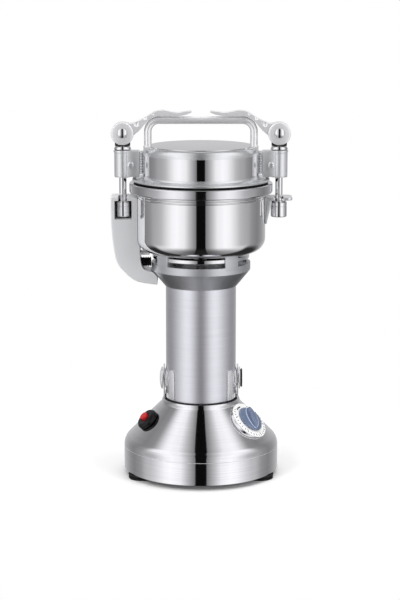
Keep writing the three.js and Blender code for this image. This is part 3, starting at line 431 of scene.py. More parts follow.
strap_steel = metal("linished_strap_steel", (0.86, 0.87, 0.88), 0.28, marks=0.3, mark_density=2200.0,
                    metallic=0.7)
tool_steel = metal("ground_tool_steel", (0.60, 0.60, 0.62), 0.28, marks=0.15, mark_density=1200.0,
                   worn=0.1)
lamination_steel = metal("stacked_laminations", (0.38, 0.38, 0.40), 0.45, marks=0.5,
                         mark_density=2400.0)
copper = metal("lacquered_copper", (0.70, 0.36, 0.18), 0.35, marks=0.3, mark_density=1600.0)
black_plastic = plastic("black_moulding", (0.006, 0.006, 0.007), 0.32, dust=0.02, shine=0.28)
black_rubber = plastic("matt_black_rubber", (0.008, 0.008, 0.008), 0.5, grain=0.25, grain_size=900.0,
                       dust=0.04, shine=0.25)
white_plate = plastic("white_dial_plate", (0.96, 0.96, 0.95), 0.35, grain=0.03, dust=0.03,
                      rubbed_or_highlight_edge=(0.95, 0.95, 0.93))
print_black = plastic("black_dial_print", (0.02, 0.02, 0.02), 0.5, grain=0.05, dust=0.0)
# The knob's light edge colour is a painted highlight along the grip's edges, not wear.
blue_plastic = plastic("blue_grey_knob", (0.13, 0.17, 0.27), 0.12, grain=0.02, dust=0.02, coat=0.8,
                       rubbed_or_highlight_edge=(0.62, 0.68, 0.78))
# This pale blue is a painted highlight, laid as a rib along the leaf grip's edges.
highlight_blue = plastic("pale_blue_painted_highlight_rib", (0.42, 0.50, 0.66), 0.12, grain=0.02, dust=0.02, coat=0.8)
red_plastic = plastic("red_button", (0.55, 0.012, 0.012), 0.2, grain=0.02, dust=0.04, coat=0.5)


# ------------------------------------------------------------------ mesh tools

def to_smooth(piece, sharp):
    """Smooth shading with edges that stay crisp past an angle in degrees."""
    piece.data.polygons.foreach_set("use_smooth", [True] * len(piece.data.polygons))
    piece.data.set_sharp_from_angle(angle=math.radians(sharp))


def to_object(name, mesh, material, sharp=32.0):
    """A smooth-shaded object with one material."""
    mesh.materials.clear()
    mesh.materials.append(material)
    piece = bpy.data.objects.new(name, mesh)
    bpy.context.scene.collection.objects.link(piece)
    to_smooth(piece, sharp)
    return piece


def plain_bar(radius, low, high):
    """Profile of a plain round bar."""
    return [(0, low), (radius, low), (radius, high), (0, high)]


def arc(x, z, radius, start, end, steps):
    """Points of an arc, angles in degrees."""
    turns = [math.radians(start + (end - start) * i / steps) for i in range(steps + 1)]
    return [(x + radius * math.cos(t), z + radius * math.sin(t)) for t in turns]


def rounded(corners, loop=True, per_turn=24):
    """An outline from (x, z, corner radius) points, each corner replaced by its arc."""
    points = []
    count = len(corners)
    for i, corner in enumerate(corners):
        here = Vector(corner[:2])
        radius = corner[2] if len(corner) > 2 else 0.0
        at_end = not loop and i in (0, count - 1)
        if radius <= 0.0 or at_end:
            points.append(tuple(here))
            continue
        before = Vector(corners[i - 1][:2]) - here
        after = Vector(corners[(i + 1) % count][:2]) - here
        half = before.angle(after) / 2
        reach = min(radius / math.tan(half), before.length * 0.49, after.length * 0.49)
        radius = reach * math.tan(half)
        bisector = (before.normalized() + after.normalized()).normalized()
        centre = here + bisector * (radius / math.sin(half))
        first = here + before.normalized() * reach - centre
        last = here + after.normalized() * reach - centre
        sweep = first.angle_signed(last)
        steps = max(2, round(per_turn * abs(sweep) / (2 * math.pi)) + 1)
        for k in range(steps + 1):
            turn = -sweep * k / steps
            x = first.x * math.cos(turn) - first.y * math.sin(turn)
            z = first.x * math.sin(turn) + first.y * math.cos(turn)
            points.append((centre.x + x, centre.y + z))
    return points


def mesh_of(data, name):
    """A mesh from edited mesh data, its faces all turned outwards."""
    bmesh.ops.recalc_face_normals(data, faces=data.faces)
    mesh = bpy.data.meshes.new(name)
    data.to_mesh(mesh)
    data.free()
    return mesh


def lathe_mesh(name, profile, around=AROUND):
    """A closed solid of revolution from (radius, height) points in metres.  A profile that
    leaves the axis free closes on itself; one that starts and ends on it is closed by poles."""
    data = bmesh.new()
    on_axis = profile[0][0] < 1e-9
    rings = []
    for radius, height in profile:
        if radius < 1e-9:
            rings.append([data.verts.new((0.0, 0.0, height))])
            continue
        turns = [2 * math.pi * i / around for i in range(around)]
        rings.append([data.verts.new((radius * math.cos(t), radius * math.sin(t), height)) for t in turns])
    pairs = list(zip(rings, rings[1:]))
    if not on_axis:
        pairs.append((rings[-1], rings[0]))
    for low, high in pairs:
        for i in range(around):
            j = (i + 1) % around
            if len(low) == 1 and len(high) == 1:
                continue
            if len(low) == 1:
                data.faces.new((low[0], high[j], high[i]))
            elif len(high) == 1:
                data.faces.new((low[i], low[j], high[0]))
            else:
                data.faces.new((low[i], low[j], high[j], high[i]))
    return mesh_of(data, name)


def turned(name, profile, material, around=AROUND, place=None, sharp=32.0):
    """A turned piece; place is a matrix that carries its upright axis to where it belongs."""
    mesh = lathe_mesh(name, [(r * MM, z * MM) for r, z in profile], around)
    if place is not None:
        mesh.transform(place)
    return to_object(name, mesh, material, sharp)


def prism_mesh(name, outline, low, high):
    """An outline of (x, z) points in metres, extruded along Y from low to high."""
    data = bmesh.new()
    near = [data.verts.new((x, low, z)) for x, z in outline]
    far = [data.verts.new((x, high, z)) for x, z in outline]
    data.faces.new(near)
    data.faces.new(list(reversed(far)))
    for i in range(len(outline)):
        j = (i + 1) % len(outline)
        data.faces.new((near[i], far[i], far[j], near[j]))
    return mesh_of(data, name)


def settle(piece):
    """Turns an object's modifiers into its plain mesh."""
    depsgraph = bpy.context.evaluated_depsgraph_get()
    mesh = bpy.data.meshes.new_from_object(piece.evaluated_get(depsgraph))
    piece.modifiers.clear()
    piece.data = mesh
    return piece


def softened(piece, width, segments=3, angle=30.0, sharp=40.0):
    """Edges rounded by a width in millimetres."""
    bevel = piece.modifiers.new("soft_edges", "BEVEL")
    bevel.width = width * MM
    bevel.segments = segments
    bevel.limit_method = "ANGLE"
    bevel.angle_limit = math.radians(angle)
    bevel.miter_outer = "MITER_ARC"
    settle(piece)
    to_smooth(piece, sharp)
    return piece


def combined(piece, tool, operation):
    """A boolean of two objects; the tool is used up."""
    change = piece.modifiers.new("boolean", "BOOLEAN")
    change.operation = operation
    change.solver = "EXACT"
    change.object = tool
    settle(piece)
    bpy.data.objects.remove(tool)
    return piece


def prism(name, outline, half_width, material, middle=0.0):
    """A flat piece from a side view in millimetres, centred across Y."""
    points = [(x * MM, z * MM) for x, z in outline]
    mesh = prism_mesh(name, points, (middle - half_width) * MM, (middle + half_width) * MM)
    return to_object(name, mesh, material)


def block(name, low, high, material):
    """A box between two opposite corners in millimetres."""
    (x0, y0, z0), (x1, y1, z1) = low, high
    outline = [(x * MM, z * MM) for x, z in ((x0, z0), (x1, z0), (x1, z1), (x0, z1))]
    mesh = prism_mesh(name, outline, y0 * MM, y1 * MM)
    return to_object(name, mesh, material)


def joined(name, pieces, material):
    """Several meshes as one object, each keeping its own closed surface."""
    data = bmesh.new()
    for piece in pieces:
        data.from_mesh(piece.data)
        bpy.data.objects.remove(piece)
    mesh = bpy.data.meshes.new(name)
    data.to_mesh(mesh)
    data.free()
    return to_object(name, mesh, material, 40.0)


def smooth_line(points, steps):
    """A smooth line through a few (x, z) points."""
    line = []
    count = len(points)
    for i in range(count - 1):
        p0 = Vector(points[max(i - 1, 0)])
        p1, p2 = Vector(points[i]), Vector(points[i + 1])
        p3 = Vector(points[min(i + 2, count - 1)])
        for k in range(steps):
            t = k / steps
            spot = 0.5 * (2 * p1 + (p2 - p0) * t + (2 * p0 - 5 * p1 + 4 * p2 - p3) * t * t
                          + (3 * p1 - p0 - 3 * p2 + p3) * t ** 3)
            line.append(tuple(spot))
    line.append(tuple(points[-1]))
    return line


def tube_mesh(name, path, radii, sides=32):
    """A round tube along points in metres, its ends closed."""
    data = bmesh.new()
    rings = []
    normal = None
    for i, spot in enumerate(path):
        ahead = (path[min(i + 1, len(path) - 1)] - path[max(i - 1, 0)]).normalized()
        if normal is None:
            normal = ahead.orthogonal().normalized()
        normal = (normal - ahead * normal.dot(ahead)).normalized()
        across = ahead.cross(normal)
        radius = radii if isinstance(radii, float) else radii[i]
        ring = []
        for k in range(sides):
            turn = 2 * math.pi * k / sides
            ring.append(data.verts.new(spot + (normal * math.cos(turn) + across * math.sin(turn)) * radius))
        rings.append(ring)
    for low, high in zip(rings, rings[1:]):
        for k in range(sides):
            j = (k + 1) % sides
            data.faces.new((low[k], low[j], high[j], high[k]))
    data.faces.new(list(reversed(rings[0])))
    data.faces.new(rings[-1])
    return mesh_of(data, name)


def along_x(x, y, z, facing=1.0):
    """Carries an upright turned piece to lie along X, in millimetres."""
    return Matrix.Translation((x * MM, y * MM, z * MM)) @ Matrix.Rotation(facing * math.pi / 2, 4, "Y")


def along_y(x, y, z, facing=1.0):
    """Carries an upright turned piece to lie along Y, in millimetres."""
    return Matrix.Translation((x * MM, y * MM, z * MM)) @ Matrix.Rotation(facing * math.pi / 2, 4, "X")


def upright(x, y, z=0.0):
    """Moves a piece without turning it, in millimetres."""
    return Matrix.Translation((x * MM, y * MM, z * MM))


def fitted(piece, body, slot, *nodes):
    """Ties a finished piece to its body, and hides the CAD nodes it stands for. The slot is not used."""
    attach(piece, body)
    if nodes:
        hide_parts(*nodes)
    return piece


# ------------------------------------------------------------------ what repeats, by geometry nodes

def geometry_group(name, **inputs):
    """A tree that takes geometry and the listed inputs, and gives geometry."""
    tree = bpy.data.node_groups.new(name, "GeometryNodeTree")
    add = tree.interface.new_socket
    add("Geometry", in_out="INPUT", socket_type="NodeSocketGeometry")
    for label, kind in inputs.items():
        add(label.replace("_", " "), in_out="INPUT", socket_type=f"NodeSocket{kind}")
    add("Material", in_out="INPUT", socket_type="NodeSocketMaterial")
    add("Geometry", in_out="OUTPUT", socket_type="NodeSocketGeometry")
    return tree, tree.nodes.new("NodeGroupInput"), tree.nodes.new("NodeGroupOutput")


def end_group(tree, geometry, given, made):
    """Makes what repeats into real mesh with the material handed in."""
    real = tree.nodes.new("GeometryNodeRealizeInstances")
    tree.links.new(geometry, real.inputs[0])
    finish = tree.nodes.new("GeometryNodeSetMaterial")
    tree.links.new(real.outputs[0], finish.inputs["Geometry"])
    tree.links.new(given.outputs["Material"], finish.inputs["Material"])
    tree.links.new(finish.outputs[0], made.inputs[0])


def grown(piece, name, tree, values):
    """Runs a tree on a piece and keeps what it makes as the piece's mesh."""
    change = piece.modifiers.new(name, "NODES")
    change.node_group = tree
    for item in tree.interface.items_tree:
        if item.in_out == "INPUT" and item.name in values:
            change[item.identifier] = values[item.name]
    return settle(piece)


def spaced_round_tree():
    """Copies of a small mesh, spaced evenly round the Z axis."""
    tree, given, made = geometry_group("spaced_round", Count="Int", Radius="Float", First_Angle="Float",
                                       Spread="Float")
    nodes, link = tree.nodes, tree.links.new
    points = nodes.new("GeometryNodePoints")
    link(given.outputs["Count"], points.inputs["Count"])
    index = nodes.new("GeometryNodeInputIndex")
    step = math_node(tree, "DIVIDE", given.outputs["Spread"], given.outputs["Count"])
    angle = math_node(tree, "MULTIPLY_ADD", index.outputs[0], step, given.outputs["First Angle"])
    spot = nodes.new("ShaderNodeCombineXYZ")
    for slot, function in enumerate(("COSINE", "SINE")):
        part = math_node(tree, function, angle)
        link(math_node(tree, "MULTIPLY", given.outputs["Radius"], part), spot.inputs[slot])
    link(spot.outputs[0], points.inputs["Position"])
    turn = nodes.new("ShaderNodeCombineXYZ")
    link(angle, turn.inputs[2])
    copies = nodes.new("GeometryNodeInstanceOnPoints")
    link(points.outputs[0], copies.inputs["Points"])
    link(given.outputs["Geometry"], copies.inputs["Instance"])
    link(turn.outputs[0], copies.inputs["Rotation"])
    end_group(tree, copies.outputs[0], given, made)
    return tree


SPACED_ROUND = spaced_round_tree()


def spaced_round(piece, count, radius, material, first=0.0, spread=360.0):
    """Repeats a small piece round the Z axis; radius in millimetres, angles in degrees."""
    values = {"Count": count, "Radius": radius * MM, "First Angle": math.radians(first),
              "Spread": math.radians(spread), "Material": material}
    return grown(piece, "spaced_round", SPACED_ROUND, values)


def corrugated_tree():
    """A tube along a straight line whose radius swells in regular ribs."""
    tree, given, made = geometry_group("corrugated_tube", Length="Float", Radius="Float",
                                       Rib_Height="Float", Rib_Pitch="Float")
    nodes, link = tree.nodes, tree.links.new
    line = nodes.new("GeometryNodeCurvePrimitiveLine")
    end = nodes.new("ShaderNodeCombineXYZ")
    link(given.outputs["Length"], end.inputs[2])
    link(end.outputs[0], line.inputs["End"])
    finer = nodes.new("GeometryNodeResampleCurve")
    finer.inputs["Count"].default_value = 97
    link(line.outputs[0], finer.inputs["Curve"])
    position = nodes.new("GeometryNodeInputPosition")
    split = nodes.new("ShaderNodeSeparateXYZ")
    link(position.outputs[0], split.inputs[0])
    turns = math_node(tree, "DIVIDE", split.outputs[2], given.outputs["Rib Pitch"])
    wave = math_node(tree, "COSINE", math_node(tree, "MULTIPLY", turns, 2 * math.pi))
    radius = math_node(tree, "MULTIPLY_ADD", wave, given.outputs["Rib Height"], given.outputs["Radius"])
    sized = nodes.new("GeometryNodeSetCurveRadius")
    link(finer.outputs[0], sized.inputs["Curve"])
    link(radius, sized.inputs["Radius"])
    circle = nodes.new("GeometryNodeCurvePrimitiveCircle")
    circle.inputs["Resolution"].default_value = 40
    circle.inputs["Radius"].default_value = 1.0
    sweep = nodes.new("GeometryNodeCurveToMesh")
    sweep.inputs["Fill Caps"].default_value = True
    link(sized.outputs[0], sweep.inputs["Curve"])
    link(circle.outputs[0], sweep.inputs["Profile Curve"])
    if "Scale" in sweep.inputs:
        scale = nodes.new("GeometryNodeInputRadius")
        link(scale.outputs[0], sweep.inputs["Scale"])
    end_group(tree, sweep.outputs[0], given, made)
    return tree


# ------------------------------------------------------------------ sizes read from the frame

def node_box(node):
    """The two corners of a CAD node's box, in millimetres."""
    low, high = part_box(node)
    return low / MM, high / MM


def joint(name):
    return next(j for j in frame["joints"] if j["name"] == name)


shell_low, shell_high = node_box("base_shell")
trim_low, trim_high = node_box("neck_trim")
column_low, column_high = node_box("motor_column")
collar_low, collar_high = node_box("collar")
disc_low, disc_high = node_box("vent_disc")
bowl_low, bowl_high = node_box("bowl")
rim_low, rim_high = node_box("bowl_rim")
gasket_low, gasket_high = node_box("lid_gasket")
lid_low, lid_high = node_box("lid_shell")
bar_high = node_box("lid_handle")[1]
seat_low, seat_high = node_box("cam_seat_right")
nut_low = node_box("cylinder_nut_right")[0]
bracket_low, bracket_high = node_box("clamp_bracket")
grip_low, grip_high = node_box("side_handle")

base_radius = shell_high.x
skirt_bottom = shell_low.z
lip_top = shell_high.z
neck_top = trim_high.z
neck_radius = trim_high.x
pivot_z = joint("head_tilt")["pos_m"][2] / MM
column_radius = column_high.x
collar_radius = collar_high.x
bowl_radius = bowl_high.x
bowl_bottom = bowl_low.z
rim_radius = rim_high.x
rim_top = rim_high.z
lid_bottom = lid_low.z
lid_top = lid_high.z
clamp_x = joint("lever_open_right")["pos_m"][0] / MM
pin_z = joint("lever_open_right")["pos_m"][2] / MM
rod_radius = 3.9
gap = 0.3                 # clearance between neighbouring pieces

shoulder_fillet = 15.0
crease_height = 36.7
lip_foot = lip_top - 3.5
seam_half = 0.35          # half the height of the seam where the cone is spun onto the skirt
shell_wall = 1.6
neck_bore = 39.3
ring_outer = 40.1
ear_thick = 1.6
ear_half = 8.5            # half an ear's width
ear_slot_half = ear_half + gap
bowl_corner = 15.0        # rounding between the bowl's wall and its floor
lid_radius = 61.8
lid_edge = 7.5            # rounding of the lid's inside
flare = 4.2               # foot of the lid where it turns out into its flange
edge_in = 5.6             # the lid's rounded upper edge: how far in it reaches
edge_down = 8.4           # and how far down
edge_lip = 0.7            # how far its top lies under the lid's crown
collar_rim = bowl_bottom - 11.5


# ------------------------------------------------------------------ base

BREAKER_HOLE = 8.0         # radii of the two holes in the cone
DIAL_HOLE = 4.6


def build_base_shell():
    """The spun base with its seam, its holes and slots, and the black ring in its neck."""
    shoulder = rounded([(base_radius, skirt_bottom), (base_radius, crease_height, shoulder_fillet),
                        (neck_radius, lip_foot)], loop=False, per_turn=96)[1:-1]
    seam = shoulder[0][1] - 0.4
    inside = base_radius - shell_wall
    ring_room = ring_outer + 0.25
    outer = [
        (base_radius - 1.0, skirt_bottom, 0.4), (base_radius, skirt_bottom + 0.2, 0.6),
        (base_radius, seam - seam_half), (base_radius - 0.4, seam - seam_half),
        (base_radius - 0.4, seam + seam_half), (base_radius, seam + seam_half), *shoulder,
        (neck_radius, lip_foot, 1.6), (neck_radius - 0.9, lip_top - 0.4, 1.0),
        (ring_room, neck_top - 0.1, 0.3), (ring_room, lip_top - shell_wall),
        (neck_radius - shell_wall, lip_foot - 0.6), (inside, crease_height - 0.6, shoulder_fillet),
        (inside, skirt_bottom + 0.4),
    ]
    shell = turned("base_cone", rounded(outer, per_turn=96), brushed_steel, around=192)
    ear_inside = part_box("yoke_ear_right")[0].x / MM - gap
    for side in (-1, 1):
        near, far = sorted((side * ear_inside, side * (ear_inside + ear_thick + 2 * gap)))
        slot = block("ear_slot", (near, -ear_slot_half, lip_foot - 8), (far, ear_slot_half, lip_top + 1),
                     brushed_steel)
        combined(shell, slot, "DIFFERENCE")
    low, high = node_box("power_gland")
    radius, depth = (high.z - low.z) / 2 + gap, high.y - low.y
    entry = turned("gland_hole", plain_bar(radius, -depth, depth), brushed_steel, 64,
                   along_y(0, high.y, (low.z + high.z) / 2))
    combined(shell, entry, "DIFFERENCE")
    for radius, place in ((BREAKER_HOLE, breaker_place()), (DIAL_HOLE, dial_place())):
        hole = turned("cone_hole", plain_bar(radius, -14, 3), brushed_steel, 48, place)
        combined(shell, hole, "DIFFERENCE")
    to_smooth(shell, 28.0)
    fitted(shell, "base", "brushed_stainless", "base_shell")
    seam_low, seam_high = seam - seam_half + 0.04, seam + seam_half - 0.04
    bead = turned("skirt_seam", [
        (base_radius - 0.45, seam_low), (base_radius - 0.1, seam_low), (base_radius - 0.02, seam),
        (base_radius - 0.1, seam_high), (base_radius - 0.45, seam_high)], strap_steel, around=192)
    fitted(bead, "base", "brushed_stainless")
    ring = turned("neck_ring", rounded([
        (neck_bore - 0.6, trim_low.z, 0.2), (ring_outer, trim_low.z, 0.2), (ring_outer, neck_top, 0.3),
        (neck_bore - 0.6, neck_top, 0.3)], per_turn=32), black_plastic)
    for side in (-1, 1):
        near, far = sorted((side * (neck_bore - 2), side * (ear_inside + ear_thick + 2 * gap)))
        slot = block("ring_slot", (near, -ear_slot_half, neck_top - 5), (far, ear_slot_half, neck_top + 5),
                     black_plastic)
        combined(ring, slot, "DIFFERENCE")
    to_smooth(ring, 32.0)
    fitted(ring, "base", "black_plastic", "neck_trim")


def build_floor_plate():
    low, high = node_box("bottom_plate")
    plate = turned("floor_plate", [(0, low.z), *rounded([
        (high.x, low.z, 0.5), (high.x, high.z, 0.5)], loop=False), (0, high.z)], tool_steel)
    slot = prism("vent_slot", rounded([(-9, -1.6, 1.5), (9, -1.6, 1.5), (9, 1.6, 1.5), (-9, 1.6, 1.5)]),
                 6, tool_steel)
    slot.data.transform(Matrix.Rotation(math.pi / 2, 4, "X"))
    for radius, count in ((28.0, 8), (42.0, 12)):
        vents = bpy.data.objects.new("vents", slot.data.copy())
        bpy.context.scene.collection.objects.link(vents)
        spaced_round(vents, count, radius, tool_steel)
        vents.data.transform(upright(0, 0, low.z))
        combined(plate, vents, "DIFFERENCE")
    bpy.data.objects.remove(slot)
    to_smooth(plate, 32.0)
    fitted(plate, "base", "tool_steel", "bottom_plate")
    screw = pan_head("floor_screws", 3.4, 1.1)
    screw.data.transform(Matrix.Rotation(math.pi, 4, "X"))
    spaced_round(screw, 4, 62.0, tool_steel, first=90.0)
    screw.data.transform(upright(0, 0, low.z))
    to_smooth(screw, 40.0)
    fitted(screw, "base", "tool_steel")


def pan_head(name, radius, height):
    """A domed screw head with a cross recess, standing on z = 0."""
    dome = rounded([(radius, 0, 0.2), (radius, height * 0.45, radius * 0.4), (radius * 0.55, height, 0.5)],
                   loop=False, per_turn=48)
    head = turned(name, [(0, -0.6), (radius * 0.6, -0.6), (radius * 0.6, 0), *dome, (0, height * 1.02)],
                  tool_steel, around=40)
    for turn in (0, 1):
        size = (radius * 0.62, radius * 0.14)
        wide, deep = (size if turn == 0 else size[::-1])
        cross = block("cross", (-wide, -deep, height * 0.35), (wide, deep, height * 2), tool_steel)
        combined(head, cross, "DIFFERENCE")
    to_smooth(head, 40.0)
    return head


def build_feet():
    for row in ("front", "rear"):
        for side in ("left", "right"):
            node = f"foot_{row}_{side}"
            low, high = node_box(node)
            middle = (low + high) / 2
            radius = (high.x - low.x) / 2
            side_view = rounded([
                (radius - 4.0, 0.0, 0.4), (radius - 0.4, 0.15, 0.3), (radius, 1.9, 0.8),
                (radius - 1.2, 2.4, 0.3), (radius - 1.2, 2.9, 0.3), (radius, 3.3, 0.6),
                (radius, high.z, 0.8)], loop=False, per_turn=40)
            profile = [(0, 0.0), (radius - 5, 0.0), *side_view, (0, high.z)]
            foot = turned(f"rubber_{node}", profile, black_rubber, AROUND_SMALL, upright(middle.x, middle.y))
            fitted(foot, "base", "black_rubber", node)


def build_ears():
    for name, side in SIDES:
        low, high = node_box(f"yoke_ear_{name}")
        inner = low.x if side > 0 else -high.x
        thick, half = ear_thick, ear_half
        front = [(-half, low.z), (half, low.z), *arc(0, high.z - half, half, 0, 180, 24)]
        ear = prism("ear", front, thick / 2, pivot_nickel)
        ear.data.transform(Matrix.Rotation(math.pi / 2, 4, "Z"))
        ear.data.transform(upright(side * (inner + thick / 2), 0))
        near, far = sorted((side * (inner + thick / 2), side * (inner + 12)))
        flange = block("flange", (near, -half, low.z), (far, half, low.z + thick), pivot_nickel)
        whole = combined(ear, flange, "UNION")
        whole.name = f"swing_ear_{name}"
        softened(whole, 0.45, 3)
        fitted(whole, "base", "polished_stainless", f"yoke_ear_{name}")


BREAKER_SEAT = 2.77        # how far the middle of the breaker nut's box stands off the cone


def standing_on_cone(foot, about):
    """Carries an upright piece to a foot on the cone, its axis along the joint's."""
    normal = -Vector(about["axis"])
    turn = math.atan2(normal.x, -normal.y)
    lean = math.acos(normal.z)
    return Matrix.Translation(foot) @ Matrix.Rotation(turn, 4, "Z") @ Matrix.Rotation(lean, 4, "X")


def dial_place():
    about = joint("timer_turn")
    return standing_on_cone(Vector(about["pos_m"]), about)


def breaker_place():
    """The reset button's slide has no point of its own, so its place comes from the nut's box."""
    about = joint("reset_press")
    low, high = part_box("breaker_nut")
    middle = (low + high) / 2
    return standing_on_cone(middle + Vector(about["axis"]) * (BREAKER_SEAT * MM), about)


def build_breaker():
    place = breaker_place()
    rim = 12.0
    nut = turned("breaker_collar", rounded([
        (7.7, 0.4), (rim, 0.4, 0.5), (rim, 4.2, 0.8), (10.2, 6.6, 0.9), (5.4, 6.6, 0.5), (5.0, 5.0),
        (7.7, 5.0)], per_turn=48), black_plastic, 96)
    groove = block("groove", (-0.5, -0.45, 0.9), (0.6, 0.45, 4.0), black_plastic)
    spaced_round(groove, 36, rim, black_plastic)
    combined(nut, groove, "DIFFERENCE")
    nut.data.transform(place)
    to_smooth(nut, 35.0)
    fitted(nut, "base", "black_plastic", "breaker_nut")
    profile = [(0, -2.9), (3.4, -2.9), (3.4, 1.5), *rounded([
        (4.4, 1.5, 0.1), (4.4, 10.0, 1.4), (2.6, 10.5, 1.5)], loop=False, per_turn=60), (0, 10.3)]
    button = turned("reset_cap", profile, red_plastic, AROUND_SMALL, place)
    fitted(button, "reset_button", "red_plastic", "reset_button")


def leaf_width(s):
    """Half width of a leaf shape, as a share of its greatest, from one tip at -1 to the other at 1."""
    return max(0.0, 1 - abs(s) ** 2.2) ** 0.8


def leaf_grip(length, half, low, high):
    """The knob's leaf-shaped grip: a lofted ridge, pointed at both ends and crowned along its top."""
    data = bmesh.new()
    along, across = 36, 14
    rows = []
    for i in range(along + 1):
        s = -1 + 2 * i / along
        width = half * leaf_width(s) + 0.12
        crown = low + (high - low) * (0.35 + 0.65 * max(0.0, 1 - s * s) ** 0.4)
        row = []
        for k in range(across + 1):
            turn = math.pi * k / across
            bulge = abs(math.cos(turn)) ** 0.6 * math.copysign(1, math.cos(turn))
            rise = math.sin(turn) ** 0.55 if 0 < k < across else 0.0
            height = low - 2 + (crown - low + 2) * rise
            row.append(data.verts.new((s * length * MM, bulge * width * MM, height * MM)))
        rows.append(row)
    for one, two in zip(rows, rows[1:]):
        for k in range(across):
            data.faces.new((one[k], one[k + 1], two[k + 1], two[k]))
        data.faces.new((one[across], one[0], two[0], two[across]))
    data.faces.new(rows[0])
    data.faces.new(rows[-1])
    return to_object("leaf_grip", mesh_of(data, "leaf_grip"), blue_plastic, 60.0)


GRIP_TURN = 62.0           # the grip's heading on the knob at rest, in degrees
DIAL_FACE = 2.7            # height of the dial's white face over the cone
FIRST_TICK = 120.0         # where the minutes start on the face and how far they run, in degrees
TICK_SPREAD = 300.0


def build_timer():
    place = dial_place()
    pad = turned("dial_seat", rounded([
        (DIAL_HOLE, -5), (21.3, -5), (21.3, 0.75, 0.4), (DIAL_HOLE, 0.75)]), brushed_steel, 128, place)
    fitted(pad, "base", "brushed_stainless")
    plate = turned("dial_plate", rounded([
        (5, 1.1), (22, 1.1, 0.3), (22, DIAL_FACE, 0.5), (5, DIAL_FACE)], per_turn=48), white_plate, 128,
        place)
    fitted(plate, "base", "white_plastic", "timer_dial")
    build_dial_print(place)
    skirt = [(0, 3.4), *rounded([
        (14.6, 3.4, 0.3), (15, 4.0, 0.4), (15, 4.9, 0.7), (13.6, 6.6, 1.4), (8.0, 7.2, 2.0)],
        loop=False, per_turn=64), (0, 7.2)]
    disc = turned("disc", skirt, blue_plastic, 128)
    stem = turned("stem", plain_bar(3.4, -9, 4), blue_plastic, 32)
    grip = leaf_grip(13.6, 4.0, 6.4, 11.6)
    grip.data.transform(Matrix.Rotation(math.radians(GRIP_TURN), 4, "Z"))
    pointer = block("pointer", (-0.35, -0.35, -0.1), (0.35, 4.5, 0.28), white_plate)
    knob = joined("timer_knob_moulding", [disc, stem, grip], blue_plastic)
    knob.data.transform(place)
    fitted(knob, "timer_knob", "blue_grey_plastic", "timer_knob")
    heading = Matrix.Rotation(math.radians(GRIP_TURN - 90), 4, "Z")
    pointer.data.transform(place @ heading @ upright(0, 9.6, 5.9))
    pointer.name = "pointer_line"
    fitted(pointer, "timer_knob", "white_plastic")
    # A pale tube round the leaf's edge: a painted highlight.
    rim = []
    for i in range(64):
        s = math.cos(2 * math.pi * i / 64)
        wide = 7.4 * leaf_width(s) * math.copysign(1, math.sin(2 * math.pi * i / 64))
        rim.append(Vector((s * 13.7 * MM, wide * MM, (7.35 - 1.1 * s * s) * MM)))
    mesh = tube_mesh("outline", rim[1:32], 0.6 * MM, 16)
    other = tube_mesh("outline", rim[33:], 0.6 * MM, 16)
    sides = [to_object("outline", piece, highlight_blue, 50.0) for piece in (mesh, other)]
    outline = joined("grip_outline_painted_highlight", sides, highlight_blue)
    outline.data.transform(place @ Matrix.Rotation(math.radians(GRIP_TURN), 4, "Z"))
    fitted(outline, "timer_knob", "blue_grey_plastic")


def build_dial_print(place):
    """Minute ticks, plain numbers and the off mark, printed on the dial's white face."""
    face = DIAL_FACE
    tick = block("minute_ticks", (-1.0, -0.42, 0), (1.0, 0.42, 0.08), print_black)
    spaced_round(tick, 26, 19.9, print_black, first=FIRST_TICK, spread=TICK_SPREAD)
    tick.data.transform(place @ upright(0, 0, face))
    pieces = [tick]
    for number in range(1, 11, 2):
        text = bpy.data.curves.new("number", "FONT")
        text.body = str(number)
        text.size = 3.3 * MM
        text.align_x = "CENTER"
        text.align_y = "CENTER"
        text.extrude = 0.03 * MM
        label = bpy.data.objects.new("number", text)
        bpy.context.scene.collection.objects.link(label)
        depsgraph = bpy.context.evaluated_depsgraph_get()
        mesh = bpy.data.meshes.new_from_object(label.evaluated_get(depsgraph))
        bpy.data.objects.remove(label)
        turn = math.radians(FIRST_TICK + TICK_SPREAD * number / 10)
        mesh.transform(place @ Matrix.Rotation(turn, 4, "Z") @ upright(17.9, 0, face + 0.03)
                       @ Matrix.Rotation(-math.pi / 2, 4, "Z"))
        pieces.append(to_object("number", mesh, print_black))
    off = []
    for i in range(25):
        turn = math.radians(88.0 + 26.0 * i / 24)
        off.append((math.cos(turn) * 17.6, math.sin(turn) * 17.6))
    path = [Vector((x * MM, y * MM, (face - 0.2) * MM)) for x, y in off]
    mesh = tube_mesh("off_mark", path, 0.75 * MM, 12)
    mesh.transform(place)
    pieces.append(to_object("off_mark", mesh, print_black))
    print_piece = joined("dial_print", pieces, print_black)
    fitted(print_piece, "base", "black_plastic")


def build_gland():
    low, high = node_box("power_gland")
    middle = (low + high) / 2
    radius = (high.z - low.z) / 2
    depth = high.y - low.y
    bore = radius * 0.5
    ring = turned("mains_gland", rounded([
        (bore, 0, 0.5), (radius, 0, 0.4), (radius, depth, 1.0), (bore, depth, 1.0)], per_turn=48),
        black_rubber, AROUND_SMALL, along_y(0, high.y, middle.z))
    fitted(ring, "base", "black_rubber", "power_gland")


# ------------------------------------------------------------------ column, pivots and collar

def build_column():
    wall = 1.8
    tube = turned("column_tube", rounded([
        (column_radius - wall, column_low.z), (column_radius, column_low.z, 0.3),
        (column_radius, column_high.z, 0.3), (column_radius - wall, column_high.z)], per_turn=32),
        satin_column)
    fitted(tube, "head", "satin_aluminium", "motor_column")


def build_tail():
    drop = pivot_z - neck_top
    radius = math.hypot(column_radius, drop)
    edge = -math.degrees(math.atan2(drop, column_radius))
    outer = arc(0, pivot_z, radius, -82, edge, 32)
    inner = arc(0, pivot_z, radius - 1.8, edge - 2, -82, 28)
    profile = [*outer, (column_radius - 1.8, neck_top), *inner]
    fitted(turned("swing_tail", profile, satin_column), "head", "satin_aluminium", "column_tail")


